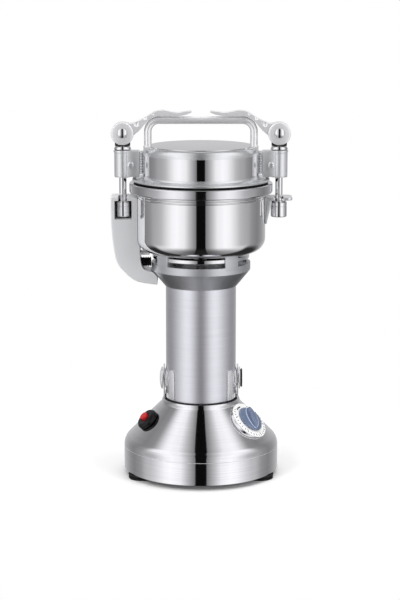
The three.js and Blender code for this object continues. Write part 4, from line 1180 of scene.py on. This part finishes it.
def wrapped(name, outline, inner, outer, heading, material, sharp=35.0):
    """A plate bent round the column: (arc length, z) points in millimetres, heading in degrees."""
    mesh = prism_mesh(name, [(x * MM, z * MM) for x, z in outline], inner * MM, outer * MM)
    data = bmesh.new()
    data.from_mesh(mesh)
    bpy.data.meshes.remove(mesh)
    reach = max(abs(x) for x, _ in outline)
    step = 1.5
    count = int(reach / step)
    for i in range(-count, count + 1):
        everything = data.verts[:] + data.edges[:] + data.faces[:]
        bmesh.ops.bisect_plane(data, geom=everything, plane_co=(i * step * MM, 0, 0), plane_no=(1, 0, 0))
    middle = (inner + outer) / 2 * MM
    for vertex in data.verts:
        turn = math.radians(heading) + vertex.co.x / middle
        radius = vertex.co.y
        vertex.co.x = radius * math.sin(turn)
        vertex.co.y = -radius * math.cos(turn)
    return to_object(name, mesh_of(data, name), material, sharp)


def build_saddles():
    """A forked saddle on either side of the column, with the pivot's boss and pin."""
    for name, side in SIDES:
        outer = column_radius + gap + 1.0
        inner = column_radius + gap
        reach = math.radians(42) * (inner + outer) / 2
        leg = 8.6
        top, foot = pivot_z + 13.0, neck_top + 1.2
        legs = []
        for turn in (-1, 1):
            a, b = sorted((turn * reach, turn * (reach - leg)))
            strip = rounded([(a, foot, 0.6), (b, foot, 0.6), (b, top, leg * 0.46), (a, top, leg * 0.46)],
                            per_turn=40)
            piece = wrapped("leg", strip, inner, outer, side * 90, pivot_nickel)
            legs.append(softened(piece, 0.3, 2))
        across = reach - leg
        band = rounded([(-across, foot, 0.3), (across, foot, 0.3), (across, foot + 5, 0.3),
                        (-across, foot + 5, 0.3)])
        band = wrapped("band", band, inner, outer - 0.45, side * 90, pivot_nickel)
        inside = abs(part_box(f"yoke_ear_{name}")[0 if side > 0 else 1].x) / MM - gap
        place = along_x(side * inside, 0, pivot_z, side)
        edge = rounded([(12, -2.2, 0.6), (12, -0.8, 0.8), (9.5, 0, 0.6)], loop=False, per_turn=40)
        boss = turned("boss", [(0, -5), (12, -5), *edge, (0, 0)], pivot_nickel, 96, place)
        pin = turned("pin", plain_bar(5, -1, 2.6), pivot_nickel, 40, place)
        whole = joined(f"pivot_saddle_{name}", [*legs, band, boss, pin], pivot_nickel)
        fitted(whole, "head", "polished_stainless", f"saddle_{name}")


def build_caps():
    """The domed caps over the pivot; the right one carries a black disc."""
    for name, side in SIDES:
        low, high = node_box(f"pivot_cap_{name}")
        start = min(abs(low.x), abs(high.x))
        thick = high.x - low.x
        radius = (high.z - low.z) / 2
        place = along_x(side * start, 0, pivot_z, side)
        full = thick if side < 0 else thick - 1.3
        dome = [(0, 0), *rounded([(radius - 0.4, 0, 0.3), (radius, 0.7, 0.5)], loop=False)]
        dome += [(radius * math.cos(t), 0.9 + (full - 0.9) * math.sin(t))
                 for t in (math.pi / 2 * i / 20 for i in range(1, 20))]
        dome += [(0, full)]
        cap = turned(f"pivot_dome_{name}", dome, pivot_nickel, 96, place)
        fitted(cap, "head", "polished_stainless", f"pivot_cap_{name}")
        if side > 0:
            disc = turned("pivot_disc_right", [(0, full - 0.6), *rounded([
                (9.2, full - 0.6, 0.2), (10, full + 0.2, 0.4), (10, thick, 0.4)], loop=False), (0, thick)],
                black_plastic, 64, place)
            fitted(disc, "head", "black_plastic")


def build_collar():
    rim = collar_rim
    foot = collar_low.z
    band_foot = rim - 8.0
    deck = rim - 3.0
    profile = rounded([
        (column_radius + gap, foot, 0.3), (column_radius + 1.1, foot, 0.4),
        (collar_radius - 1.9, band_foot - 2.4, 0.6), (collar_radius, band_foot, 0.8),
        (collar_radius, rim, 0.5), (collar_radius - 4, rim, 0.4), (collar_radius - 4, deck, 0.3),
        (11.3, deck), (11.3, deck - 8), (15.3, deck - 8), (15.3, deck - 4),
        (column_radius + 4, deck - 4), (column_radius + gap, deck - 8)], per_turn=64)
    body = turned("collar_body", profile, turned_collar)
    hole = turned("hole", plain_bar(5.5, deck - 20, deck + 5), turned_collar, 32)
    spaced_round(hole, 6, column_radius - 10.5, turned_collar, first=30.0)
    combined(body, hole, "DIFFERENCE")
    to_smooth(body, 30.0)
    pieces = [body]
    for i in range(4):
        outline = rounded([(-8, rim - 3.5, 0.2), (8, rim - 3.5, 0.2), (8, bowl_bottom - gap, 0.5),
                           (-8, bowl_bottom - gap, 0.5)])
        lug = wrapped("lug", outline, collar_radius - 9, collar_radius, 38.5 + 90 * i, turned_collar)
        pieces.append(softened(lug, 0.35, 2))
    whole = joined("tapered_collar", pieces, turned_collar)
    fitted(whole, "head", "satin_aluminium", "collar")


def build_disc():
    radius = disc_high.x
    low, top = disc_low.z, disc_low.z + 4.3
    profile = rounded([
        (15, low), (radius, low, 0.8), (radius, top, 0.8), (20, top, 0.4), (20, bowl_bottom - gap),
        (15, bowl_bottom - gap)], per_turn=48)
    fitted(turned("bright_vent_disc", profile, mirror_steel), "head", "polished_stainless", "vent_disc")


# ------------------------------------------------------------------ bowl

def build_bowl():
    wall = 1.5
    corner = bowl_corner
    top = rim_top - 0.1
    outer = [(9, bowl_bottom)]
    outer += arc(bowl_radius - corner, bowl_bottom + corner, corner, -90, 0, 28)
    bead_depth = 0.28
    for level in (rim_low.z - 5.2, rim_low.z - 2.6):
        outer += [(bowl_radius, level - 0.8), (bowl_radius - bead_depth, level - 0.3),
                  (bowl_radius - bead_depth, level + 0.3), (bowl_radius, level + 0.8)]
    outer += [(bowl_radius, top - 0.3), (bowl_radius - 0.3, top), (bowl_radius - wall, top)]
    inner = arc(bowl_radius - corner, bowl_bottom + corner, corner - wall, 0, -90, 24)
    profile = outer + inner + [(9, bowl_bottom + wall)]
    fitted(turned("grinding_bowl", profile, mirror_steel, sharp=24.0), "head", "polished_stainless", "bowl")
    band = turned("rim_band", rounded([
        (bowl_radius + gap, rim_low.z, 0.3), (rim_radius - 0.4, rim_low.z, 1.0),
        (rim_radius, rim_low.z + 1.2, 1.4), (rim_radius, rim_top, 1.8),
        (bowl_radius + gap, rim_top, 0.4)], per_turn=64), rim_steel)
    fitted(band, "head", "polished_stainless", "bowl_rim")


def build_seal():
    low, high = node_box("shaft_seal")
    profile = rounded([(5.3, low.z), (8.7, low.z), (8.7, high.z - 2.2), (14, high.z - 2.2, 0.3),
                       (13, high.z - 0.6, 0.6), (9, high.z, 0.8), (5.3, high.z, 0.3)], per_turn=40)
    seal = turned("shaft_lip_seal", profile, black_rubber, AROUND_SMALL)
    fitted(seal, "head", "black_rubber", "shaft_seal")


# ------------------------------------------------------------------ side handle, conduit and bracket

def grip_outline(inset):
    """The handle's side view in millimetres: straight at the top, then curling in under the bowl."""
    top = grip_high.z
    out = grip_low.x + inset
    into = -bowl_radius + 4 - inset
    tail = grip_high.x
    foot = grip_low.z
    low = foot + inset
    outer = smooth_line([
        (out, top - 24), (out + 1.6, top - 46), (out + 5.6, foot + 26), (out + 14, foot + 14),
        (out + 27, foot + 4 + inset * 0.5), (tail, low)], 8)
    inner = smooth_line([
        (tail, low + 13 - 2 * inset), (into + 6, foot + 16 - inset), (into + 1.6, foot + 21 - inset * 0.5),
        (into, top - 62), (into, top - 46)], 8)
    end = [(tail + 8, low), (tail + 8, low + 13 - 2 * inset)] if inset > 0 else []
    return [(out, top - inset), *outer, *end, *inner, (into, top - inset)]


def build_grip():
    """The cast side handle: hollow, with a window round its nut and room for what it touches."""
    top, floor = grip_high.z, nut_low.z - 1.4
    half = (grip_high.y - grip_low.y) / 2
    wall = 2.2
    shell = softened(prism("grip", grip_outline(0), half, satin_casting), 7.0, 8, angle=50.0, sharp=50.0)
    cuts = []
    lower = prism("hollow", grip_outline(wall), half - wall, satin_casting)
    keep_below = block("below", (-120, -40, 0), (0, 40, floor - wall), satin_casting)
    cuts.append(combined(lower, keep_below, "INTERSECT"))
    x0, x1 = -clamp_x - 8.6, -clamp_x + 9.6
    window = rounded([(x0, floor, 0.8), (x1, floor, 0.8), (x1, top - 4.2, 0.8), (x0, top - 4.2, 0.8)])
    cuts.append(prism("window", window, 20, satin_casting, middle=-20 + 9))
    rod_room = 4.6
    cuts.append(block("rod_slot", (-clamp_x - rod_room, -half - 5, top - 8),
                      (-clamp_x + rod_room, 0, top + 4), satin_casting))
    cuts.append(turned("rod_hole", plain_bar(rod_room, top - 8, top + 4), satin_casting, 32,
                       upright(-clamp_x, 0)))
    conduit_z = collar_rim - 0.6
    cuts.append(turned("conduit_hole", plain_bar(5.7, -9, 9), satin_casting, 32,
                       along_x(-bowl_radius + 2, 0, conduit_z)))
    room = bowl_radius + 0.25
    corner = bowl_corner
    bend = arc(bowl_radius - corner, bowl_bottom + corner, corner + 0.25, -90, 0, 12)
    cuts.append(turned("bowl_room", [(0, bowl_bottom - 0.25), *bend, (room, top + 2), (0, top + 2)],
                       satin_casting))
    cuts.append(turned("collar_room", [
        (0, column_high.z - 14), (column_radius + 2, column_high.z - 14),
        (column_radius + 2, column_high.z - 6), (collar_radius + 0.6, collar_rim - 9.3),
        (collar_radius + 0.6, collar_rim), (0, collar_rim)], satin_casting))
    for tool in cuts:
        combined(shell, tool, "DIFFERENCE")
    shell.name = "side_grip"
    # A black sheet behind the window stands in for the shade inside the hollow handle: painted shade.
    shade_sheet = block("window_painted_shade_sheet", (x0 + 0.4, 7.2, floor + 0.4), (x1 - 0.4, 8.8, top - 4.6), black_plastic)
    fitted(softened(shade_sheet, 0.4, 2), "head", "black_plastic")
    to_smooth(shell, 34.0)
    tongue = block("grip_tongue", (-bowl_radius + 3, -9, bowl_bottom - 3.5),
                   (-disc_high.x - 3, 9, bowl_bottom - 0.6), satin_casting)
    softened(tongue, 0.5, 2)
    fitted(tongue, "head", "satin_aluminium")
    fitted(shell, "head", "satin_aluminium", "side_handle")


def build_conduit():
    """The ribbed black sleeve that carries the switch's leads into the handle."""
    low, high = node_box("switch_conduit")
    mesh = bpy.data.meshes.new("conduit")
    piece = bpy.data.objects.new("corrugated_conduit", mesh)
    bpy.context.scene.collection.objects.link(piece)
    values = {"Length": (high.x - low.x) * MM, "Radius": 4.7 * MM, "Rib Height": 0.55 * MM,
              "Rib Pitch": 1.9 * MM, "Material": black_rubber}
    grown(piece, "corrugated_tube", corrugated_tree(), values)
    piece.data.transform(along_x(low.x, 0, (low.z + high.z) / 2))
    to_smooth(piece, 50.0)
    fitted(piece, "head", "black_rubber", "switch_conduit")


def build_bracket():
    low, high = bracket_low, bracket_high
    half = (high.y - low.y) / 2
    thick = 3.2
    shelf_bottom = high.z - thick
    near = bowl_radius - 9
    shelf_plan = rounded([(near, -half, 0), (high.x, -half, 5), (high.x, half, 5), (near, half, 0)],
                         per_turn=48)
    shelf = prism("shelf", [(x, y) for x, y in shelf_plan], thick / 2, strap_steel)
    shelf.data.transform(Matrix.Rotation(math.pi / 2, 4, "X"))
    shelf.data.transform(upright(0, 0, high.z - thick / 2))
    out = bowl_radius + 6.2
    wedge = prism("wedge", [(near, shelf_bottom + 0.5), (out, shelf_bottom + 0.5), (out, shelf_bottom - 2),
                            (bowl_radius + 1.1, low.z), (near, low.z)], half, strap_steel)
    cheek = half - 2.2
    pocket = block("pocket", (bowl_radius + 2.4, -cheek, low.z - 5),
                   (bowl_radius + 20, cheek, shelf_bottom - 0.01), strap_steel)
    combined(wedge, pocket, "DIFFERENCE")
    combined(shelf, wedge, "UNION")
    rod_room = 4.5
    slot = block("slot", (clamp_x - rod_room, -half - 1, high.z - 8), (clamp_x + rod_room, 0, high.z + 5),
                 strap_steel)
    hole = turned("hole", plain_bar(rod_room, high.z - 8, high.z + 5), strap_steel, 40,
                  upright(clamp_x, 0))
    room = turned("room", [(0, low.z - 5), (bowl_radius + 0.2, low.z - 5), (bowl_radius + 0.2, high.z + 5),
                           (0, high.z + 5)], strap_steel)
    for tool in (slot, hole, room):
        combined(shelf, tool, "DIFFERENCE")
    shelf.name = "right_clamp_bracket"
    softened(shelf, 0.5, 3, angle=40.0)
    fitted(shelf, "head", "chrome_plate", "clamp_bracket")


NUT_RADIUS = {"left": 7.0, "right": 8.6}      # the left one hides in the handle's window


def build_nuts():
    for name, side in SIDES:
        low, high = node_box(f"cylinder_nut_{name}")
        radius = NUT_RADIUS[name]
        profile = rounded([
            (4.15, high.z, 0.2), (radius - 1.4, high.z, 0.8), (radius, high.z - 1.6, 0.8),
            (radius, high.z - 5.2, 0.3), (radius - 0.5, high.z - 5.6, 0.2), (radius, high.z - 6.0, 0.3),
            (radius, low.z, 1.2), (2.0, low.z, 0.5), (2.0, low.z + 1.6), (4.15, low.z + 1.8)], per_turn=48)
        nut = turned(f"round_nut_{name}", profile, bright_chrome, 72, upright(side * clamp_x, 0))
        fitted(nut, "head", "chrome_plate", f"cylinder_nut_{name}")


# ------------------------------------------------------------------ lid

flange_top = lid_bottom + 1.9
edge_foot = lid_top - edge_lip - edge_down


def lid_outer():
    """The lid's outside from its flange to its crown."""
    crown = lid_radius - edge_in
    edge = [(crown + edge_in * math.cos(t), edge_foot + edge_down * math.sin(t))
            for t in (math.pi / 2 * i / 24 for i in range(25))]
    return [
        (lid_high.x - 0.3, lid_bottom), (lid_high.x, lid_bottom + 0.3), (lid_high.x, flange_top - 0.4),
        (lid_high.x - 0.4, flange_top), *arc(lid_radius + flare, flange_top + flare, flare, 270, 180, 20),
        *edge, (crown - 0.5, lid_top - 0.1), (crown - 1.0, lid_top),
    ]


def banded(piece, second, chosen):
    """Gives a second finish to the faces whose height and radius are chosen."""
    piece.data.materials.append(second)
    for face in piece.data.polygons:
        radius = math.hypot(face.center.x, face.center.y) / MM
        if chosen(radius, face.center.z / MM):
            face.material_index = 1


def at_lid_edge(radius, z):
    """Whether a spot of the lid lies on its linished upper edge or in the flare over its flange."""
    on_edge = edge_foot < z < lid_top - 1.7
    in_flare = radius > lid_radius and z < flange_top + flare
    return radius > lid_radius - edge_in - 1.2 and (on_edge or in_flare)


def build_lid():
    wall = 1.4
    bend = arc(lid_radius - lid_edge, lid_top - lid_edge, lid_edge - wall, 90, 0, 12)
    inside = [(0, lid_top - wall), *bend, (lid_radius - wall, lid_bottom)]
    shell = turned("lid_dome", [*inside, *lid_outer(), (0, lid_top)], mirror_steel, sharp=20.0)
    banded(shell, satin_band, at_lid_edge)
    fitted(shell, "lid", "polished_stainless", "lid_shell")
    low, high = gasket_low, gasket_high
    seal_width = 10.5
    inner = high.x - seal_width
    gasket = turned("lid_seal_ring", rounded([
        (inner, low.z, 0.5), (high.x, low.z, 0.6), (high.x, high.z, 0.6), (inner, high.z, 0.5)],
        per_turn=40), black_rubber)
    fitted(gasket, "lid", "black_rubber", "lid_gasket")


def build_bar():
    """The bent carrying rod, its feet welded to the lid's shoulder."""
    rod, bend = 4.0, 12.0
    half = bar_high.x - rod
    level = bar_high.z - rod
    foot = lid_top - 4.6
    right = [(half, foot), (half, level - bend)]
    right += arc(half - bend, level - bend, bend, 0, 90, 20)[1:]
    left = [(-x, z) for x, z in reversed(right)]
    path = [Vector((x * MM, 0, z * MM)) for x, z in right + left]
    tube = to_object("tube", tube_mesh("tube", path, rod * MM, 48), bar_chrome, 50.0)
    pieces = [tube]
    for side in (-1, 1):
        bead = turned("bead", rounded([
            (3.0, -3.5, 0.2), (4.7, -3.5, 0.2), (4.9, 0.3, 0.5), (4.0, 1.3, 0.3), (3.0, 1.3)], per_turn=40),
            bar_chrome, 48, upright(side * half, 0, lid_top - 1.2))
        pieces.append(bead)
    whole = joined("carrying_bar", pieces, bar_chrome)
    fitted(whole, "lid", "chrome_plate", "lid_handle")


def build_straps():
    """The lid's two clamp blocks: a sleeve round the rod, a tongue and a welded lug."""
    radius, half = 9.0, 8.2
    for name, side in SIDES:
        low, high = node_box(f"strap_{name}")
        bottom, top = low.z, high.z
        sleeve = turned("sleeve", rounded([
            (4.5, bottom, 0.3), (radius - 0.2, bottom, 0.4), (radius - 0.2, bottom + 0.9, 0.2),
            (radius, bottom + 1.2, 0.2), (radius, top - 2.6, 0.2), (radius + 0.6, top - 2.2, 0.3),
            (radius + 0.6, top, 0.6), (4.5, top, 0.4)], per_turn=48),
            strap_steel, 96, upright(side * clamp_x, 0))
        a, b = sorted((side * (lid_radius + 3.6), side * (clamp_x - 5)))
        tongue = block("tongue", (a, -half, bottom + 0.6), (b, half, top - 0.5), strap_steel)
        hole = turned("hole", plain_bar(6.0, bottom - 1, top + 1), strap_steel, 48,
                      upright(side * clamp_x, 0))
        combined(tongue, hole, "DIFFERENCE")
        softened(tongue, 0.7, 3)
        a, b = sorted((side * (lid_radius - 0.6), side * (lid_radius + 3.9)))
        lug = block("lug", (a, -half + 1.6, bottom + 4), (b, half - 1.6, top - 1.5), strap_steel)
        combined(lug, lid_room(), "DIFFERENCE")
        softened(lug, 0.6, 3)
        whole = joined(f"strap_block_{name}", [sleeve, tongue, lug], strap_steel)
        fitted(whole, "lid", "satin_aluminium", f"strap_{name}")
        build_strap_details(name, side, bottom, top, half)


def lid_room():
    """The lid's outside with a hair of clearance, to shape what is fixed to it."""
    outline = [(0, lid_bottom - 4), (lid_high.x + 0.1, lid_bottom - 4)]
    outline += [(r + 0.1, z) for r, z in lid_outer()[1:]]
    return turned("lid_room", [*outline, (0, lid_top + 0.1)], strap_steel)


def build_strap_details(name, side, bottom, top, half):
    middle = (bottom + top) / 2 - 1.0
    for face in (-1, 1):
        screw = pan_head(f"strap_screw_{name}_{'front' if face < 0 else 'rear'}", 3.5, 1.9)
        screw.data.transform(Matrix.Rotation(math.radians(35), 4, "Z"))
        screw.data.transform(Matrix.Translation((side * (clamp_x - 8.8) * MM, face * half * MM, middle * MM))
                             @ Matrix.Rotation(-face * math.pi / 2, 4, "X"))
        screw.data.materials[0] = strap_steel
        fitted(screw, "lid", "chrome_plate")
    beads = []
    for face in (-1, 1):
        for i in range(9):
            z = bottom + 5.0 + i * (top - bottom - 7.5) / 8
            bead = turned("bead", [(0, -1.2), *arc(0, 0, 1.35, -60, 60, 8)[1:-1], (0, 1.3)], strap_steel, 16)
            bead.data.transform(upright(side * (lid_radius + 1.2), face * (half - 1.4), z))
            beads.append(bead)
    weld = joined(f"lug_weld_{name}", beads, strap_steel)
    fitted(weld, "lid", "satin_aluminium")
    hook = smooth_line([(lid_radius + 3.2, bottom + 4.5), (lid_radius + 6.2, bottom + 1.6),
                        (lid_radius + 8.4, bottom - 0.2), (lid_radius + 10.2, bottom - 0.4)], 8)
    path = [Vector((side * x * MM, 0, z * MM)) for x, z in hook]
    mesh = tube_mesh("hook", path, 1.3 * MM, 20)
    mesh.transform(Matrix.Diagonal((1, 4.6, 1, 1)))
    fitted(to_object(f"strap_toe_{name}", mesh, strap_steel, 50.0), "lid", "satin_aluminium")


def build_washers():
    for name, side in SIDES:
        low, high = node_box(f"washer_{name}")
        radius = (high.y - low.y) / 2
        place = upright(side * clamp_x, 0)
        profile = rounded([
            (4.5, low.z, 0.2), (radius - 0.3, low.z, 0.5), (radius, low.z + 1.0, 0.5),
            (radius - 0.7, high.z - 1.1, 0.4), (radius - 0.9, high.z, 0.6), (4.5, high.z, 0.3)], per_turn=40)
        ring = turned(f"thrust_washer_{name}", profile, bright_chrome, 72, place)
        fitted(ring, "lid", "chrome_plate", f"washer_{name}")
        seal = turned(f"dust_ring_{name}", rounded([
            (4.6, low.z - 0.55, 0.1), (radius - 1.0, low.z - 0.55, 0.15),
            (radius - 1.0, low.z + 0.05, 0.15), (4.6, low.z + 0.05, 0.1)]), black_rubber, 48, place)
        fitted(seal, "lid", "black_rubber")


# ------------------------------------------------------------------ clamp rods and levers

cam_radius = 12.0
cam_offset = 0.8           # how far the cam's centre lies under its pin
cam_centre_z = pin_z - cam_offset


def build_rods():
    """The two swinging clamp bolts, each with its cam seat and its lever's pin."""
    for name, side in SIDES:
        body = f"clamp_{name}"
        seat = turned("seat", rounded([
            (4.2, seat_low.z, 0.1), (8.2, seat_low.z, 0.4), (8.2, seat_high.z, 0.5),
            (4.2, seat_high.z, 0.1)], per_turn=40), black_plastic, 64)
        cradle = turned("cradle", plain_bar(cam_radius + 0.25, -20, 20), black_plastic, 96,
                        along_y(0, 0, cam_centre_z))
        combined(seat, cradle, "DIFFERENCE")
        seat.data.transform(upright(side * clamp_x, 0))
        seat.name = f"cam_cradle_{name}"
        to_smooth(seat, 35.0)
        fitted(seat, body, "black_plastic", f"cam_seat_{name}")
        low = node_box(f"clamp_rod_{name}")[0]
        pitch = 1.25
        ends = low.z + 12.0
        threaded = [(0, low.z), (rod_radius - 0.8, low.z)]
        level = low.z + 0.6
        while level < ends:
            threaded += [(rod_radius - 0.55, level), (rod_radius, level + pitch / 2)]
            level += pitch
        stem = turned("stem", [
            *threaded, (rod_radius - 0.1, ends + 0.8), (rod_radius, ends + 1.4), (rod_radius, pin_z - 3),
            (rod_radius, pin_z), (0, pin_z)], bright_chrome, 48)
        eye_side = rounded([(5.6, -3.5, 0.6), (5.6, 3.5, 0.6)], loop=False)
        eye = turned("eye", [(0, -3.5), *eye_side, (0, 3.5)], bright_chrome, 64, along_y(0, 0, pin_z))
        rod = joined(f"clamp_bolt_{name}", [stem, eye], bright_chrome)
        rod.data.transform(upright(side * clamp_x, 0))
        fitted(rod, body, "chrome_plate", f"clamp_rod_{name}")
        half = 9.0
        dome = rounded([(5, half + 0.3, 0.2), (5, half + 0.9, 0.4), (3.4, half + 2.0, 1.2)],
                       loop=False, per_turn=60)
        far_dome = [(r, -z) for r, z in reversed(dome)]
        profile = [(0, -half - 2.3), *far_dome, (2.8, -half - 0.3), (2.8, half + 0.3), *dome,
                   (0, half + 2.3)]
        pin = turned(f"lever_pin_{name}", profile, bright_chrome, 48, along_y(side * clamp_x, 0, pin_z))
        fitted(pin, body, "chrome_plate", f"cam_pin_{name}")


lever_reach = clamp_x - 10.2


def lever_outline():
    """Side view of a lever from its pin outwards, in millimetres: a swan neck and a flat paddle."""
    reach = lever_reach
    leg = clamp_x - (lid_radius - 5.5)
    top = bar_high.z - pin_z
    upper = smooth_line([
        (2, cam_radius - 1.3), (11, 10.2), (leg - 4, 15.4), (leg + 2.5, 19.4), (leg + 9, top + 5.9),
        (leg + 17, top + 6.6), (leg + 31, top + 4.2), (reach - 8, top + 5.2), (reach, top + 6.0)], 6)
    lower = smooth_line([
        (reach + 0.6, top + 4.6), (reach - 6, top + 2), (reach - 16, top + 0.75), (leg + 13, top + 0.65),
        (leg + 5, top - 0.9), (leg - 2.5, top - 7.4), (leg - 9, 2.2), (6, -7)], 6)
    return upper + lower


# Along a lever, over its pin and the radius of each dimple pressed into its sides.
LEVER_DIMPLES = ((15.0, 9.4, 3.6), (24.2, 16.0, 2.7), (32.3, 20.2, 1.7))


def build_levers():
    """The two cam levers, mirror images: arm, cam, fork and pressed dimples."""
    reach = lever_reach
    for name, side in SIDES:
        arm = prism("arm", lever_outline(), 7.0, satin_nickel)
        plan = [(0, -9), (22, -7), (reach + 0.2, -5.2), (reach + 0.8, 0), (reach + 0.2, 5.2), (22, 7),
                (0, 9)]
        taper = prism("taper", plan, 45, bright_chrome)
        taper.data.transform(Matrix.Rotation(math.pi / 2, 4, "X"))
        combined(arm, taper, "INTERSECT")
        softened(arm, 1.9, 5, angle=35.0)
        cheek = rounded([(9.5, -9, 1.5), (cam_radius, -8.5, 1.1), (cam_radius, 8.5, 1.1), (9.5, 9, 1.5)],
                        loop=False, per_turn=60)
        cam = turned("cam", [(0, -9), *cheek, (0, 9)], satin_nickel, 96,
                     along_y(0, 0, -cam_offset))
        combined(arm, cam, "UNION")
        combined(arm, block("slot", (-20, -4.2, -20), (6.8, 4.2, 20), satin_nickel), "DIFFERENCE")
        for x, z, radius in LEVER_DIMPLES:
            for face in (-1, 1):
                ball = [(0, -radius), *arc(0, 0, radius, -80, 80, 10), (0, radius)]
                bead = turned("dimple", ball, satin_nickel, 32)
                bead.data.transform(upright(x, face * (7.6 + radius * 0.55 - x * 0.04), z))
                combined(arm, bead, "DIFFERENCE")
        if side > 0:
            arm.data.transform(Matrix.Rotation(math.pi, 4, "Z"))
        arm.data.transform(upright(side * clamp_x, 0, pin_z))
        arm.name = f"lever_{name}_casting"
        to_smooth(arm, 38.0)
        fitted(arm, f"lever_{name}", "chrome_plate", f"cam_lever_{name}")


# ------------------------------------------------------------------ rotor

def blade_mesh(level, tilt, heading):
    """A two-armed beater: flat in the middle, tips bent up and ground to an edge."""
    reach, half, thick, bend = 59.4, 10.0, 2.6, 24.0
    lean = math.tan(math.radians(tilt))
    data = bmesh.new()
    stations = [-reach, -reach + 6, -bend - 8, -bend, -bend + 4, -8,
                8, bend - 4, bend, bend + 8, reach - 6, reach]
    rows = []
    for x in stations:
        run = max(0.0, abs(x) - bend)
        lift = run * lean
        wide = half - (4.0 if abs(x) > reach - 1 else 0.0)
        edge = 0.25 if abs(x) > bend - 5 else 1.0
        nose = thick * edge
        ring = [(-wide, lift), (wide - 3, lift), (wide, lift + (thick - nose) * 0.5),
                (wide, lift + (thick + nose) * 0.5), (wide - 3, lift + thick), (-wide, lift + thick)]
        if x < 0:
            ring = [(-y, z) for y, z in reversed(ring)]
        rows.append([data.verts.new((x * MM, y * MM, z * MM)) for y, z in ring])
    for one, two in zip(rows, rows[1:]):
        for k in range(6):
            j = (k + 1) % 6
            data.faces.new((one[k], one[j], two[j], two[k]))
    data.faces.new(rows[0])
    data.faces.new(rows[-1])
    mesh = mesh_of(data, "blade")
    mesh.transform(upright(0, 0, level) @ Matrix.Rotation(math.radians(heading), 4, "Z"))
    return mesh


def build_rotor():
    for name, tilt, heading in (("lower_blade", 24.0, 0.0), ("upper_blade", 14.0, 90.0)):
        level = node_box(name)[0].z
        piece = to_object(f"{name}_beater", blade_mesh(level, tilt, heading), tool_steel, 20.0)
        softened(piece, 0.25, 2, angle=20.0, sharp=30.0)
        fitted(piece, "rotor", "tool_steel", name)
    low, high = node_box("blade_spacer")
    spacer = turned("spacer_sleeve", rounded([
        (4.3, low.z, 0.2), (9, low.z, 0.8), (9, high.z, 0.8), (4.3, high.z, 0.2)], per_turn=40),
        tool_steel, 64)
    fitted(spacer, "rotor", "tool_steel", "blade_spacer")
    low, high = node_box("blade_nut")
    hexagon = [(8 * math.cos(math.radians(60 * i)), 8 * math.sin(math.radians(60 * i))) for i in range(6)]
    nut = prism("hex_nut", hexagon, (high.z - low.z) / 2, tool_steel)
    nut.data.transform(upright(0, 0, (low.z + high.z) / 2) @ Matrix.Rotation(math.pi / 2, 4, "X"))
    bore = turned("bore", plain_bar(4.2, low.z - 1, high.z + 1), tool_steel, 32)
    combined(nut, bore, "DIFFERENCE")
    softened(nut, 0.5, 2)
    fitted(nut, "rotor", "tool_steel", "blade_nut")
    low, high = node_box("motor_shaft")
    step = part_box("lower_blade")[0].z / MM - gap
    thread = [(4.0, step)]
    level = high.z - 9.0
    while level < high.z - 1.4:
        thread += [(4.0, level), (3.55, level + 0.6)]
        level += 1.2
    shaft = turned("mill_shaft", [(0, low.z), (5, low.z), (5, step), *thread, (3.2, high.z), (0, high.z)],
                   tool_steel, 48)
    fitted(shaft, "rotor", "tool_steel", "motor_shaft")


# ------------------------------------------------------------------ carried-over CAD nodes

def finish_inner_nodes():
    """The pieces inside the mill keep their CAD shape and take a real finish."""
    finishes = {
        "motor_stator": lamination_steel, "brush_gear": black_plastic, "lower_bearing": tool_steel,
        "upper_bearing": tool_steel, "armature": copper, "cooling_fan": black_plastic,
        "interlock_switch": black_plastic, "timer_body": black_plastic, "breaker_body": black_plastic,
    }
    for node, material in finishes.items():
        mesh = frame["nodes"][node].data
        mesh.materials.clear()
        mesh.materials.append(material)


build_base_shell()
build_floor_plate()
build_feet()
build_ears()
build_breaker()
build_timer()
build_gland()
build_column()
build_tail()
build_saddles()
build_caps()
build_collar()
build_disc()
build_bowl()
build_seal()
build_grip()
build_conduit()
build_bracket()
build_nuts()
build_lid()
build_bar()
build_straps()
build_washers()
build_rods()
build_levers()
build_rotor()
finish_inner_nodes()
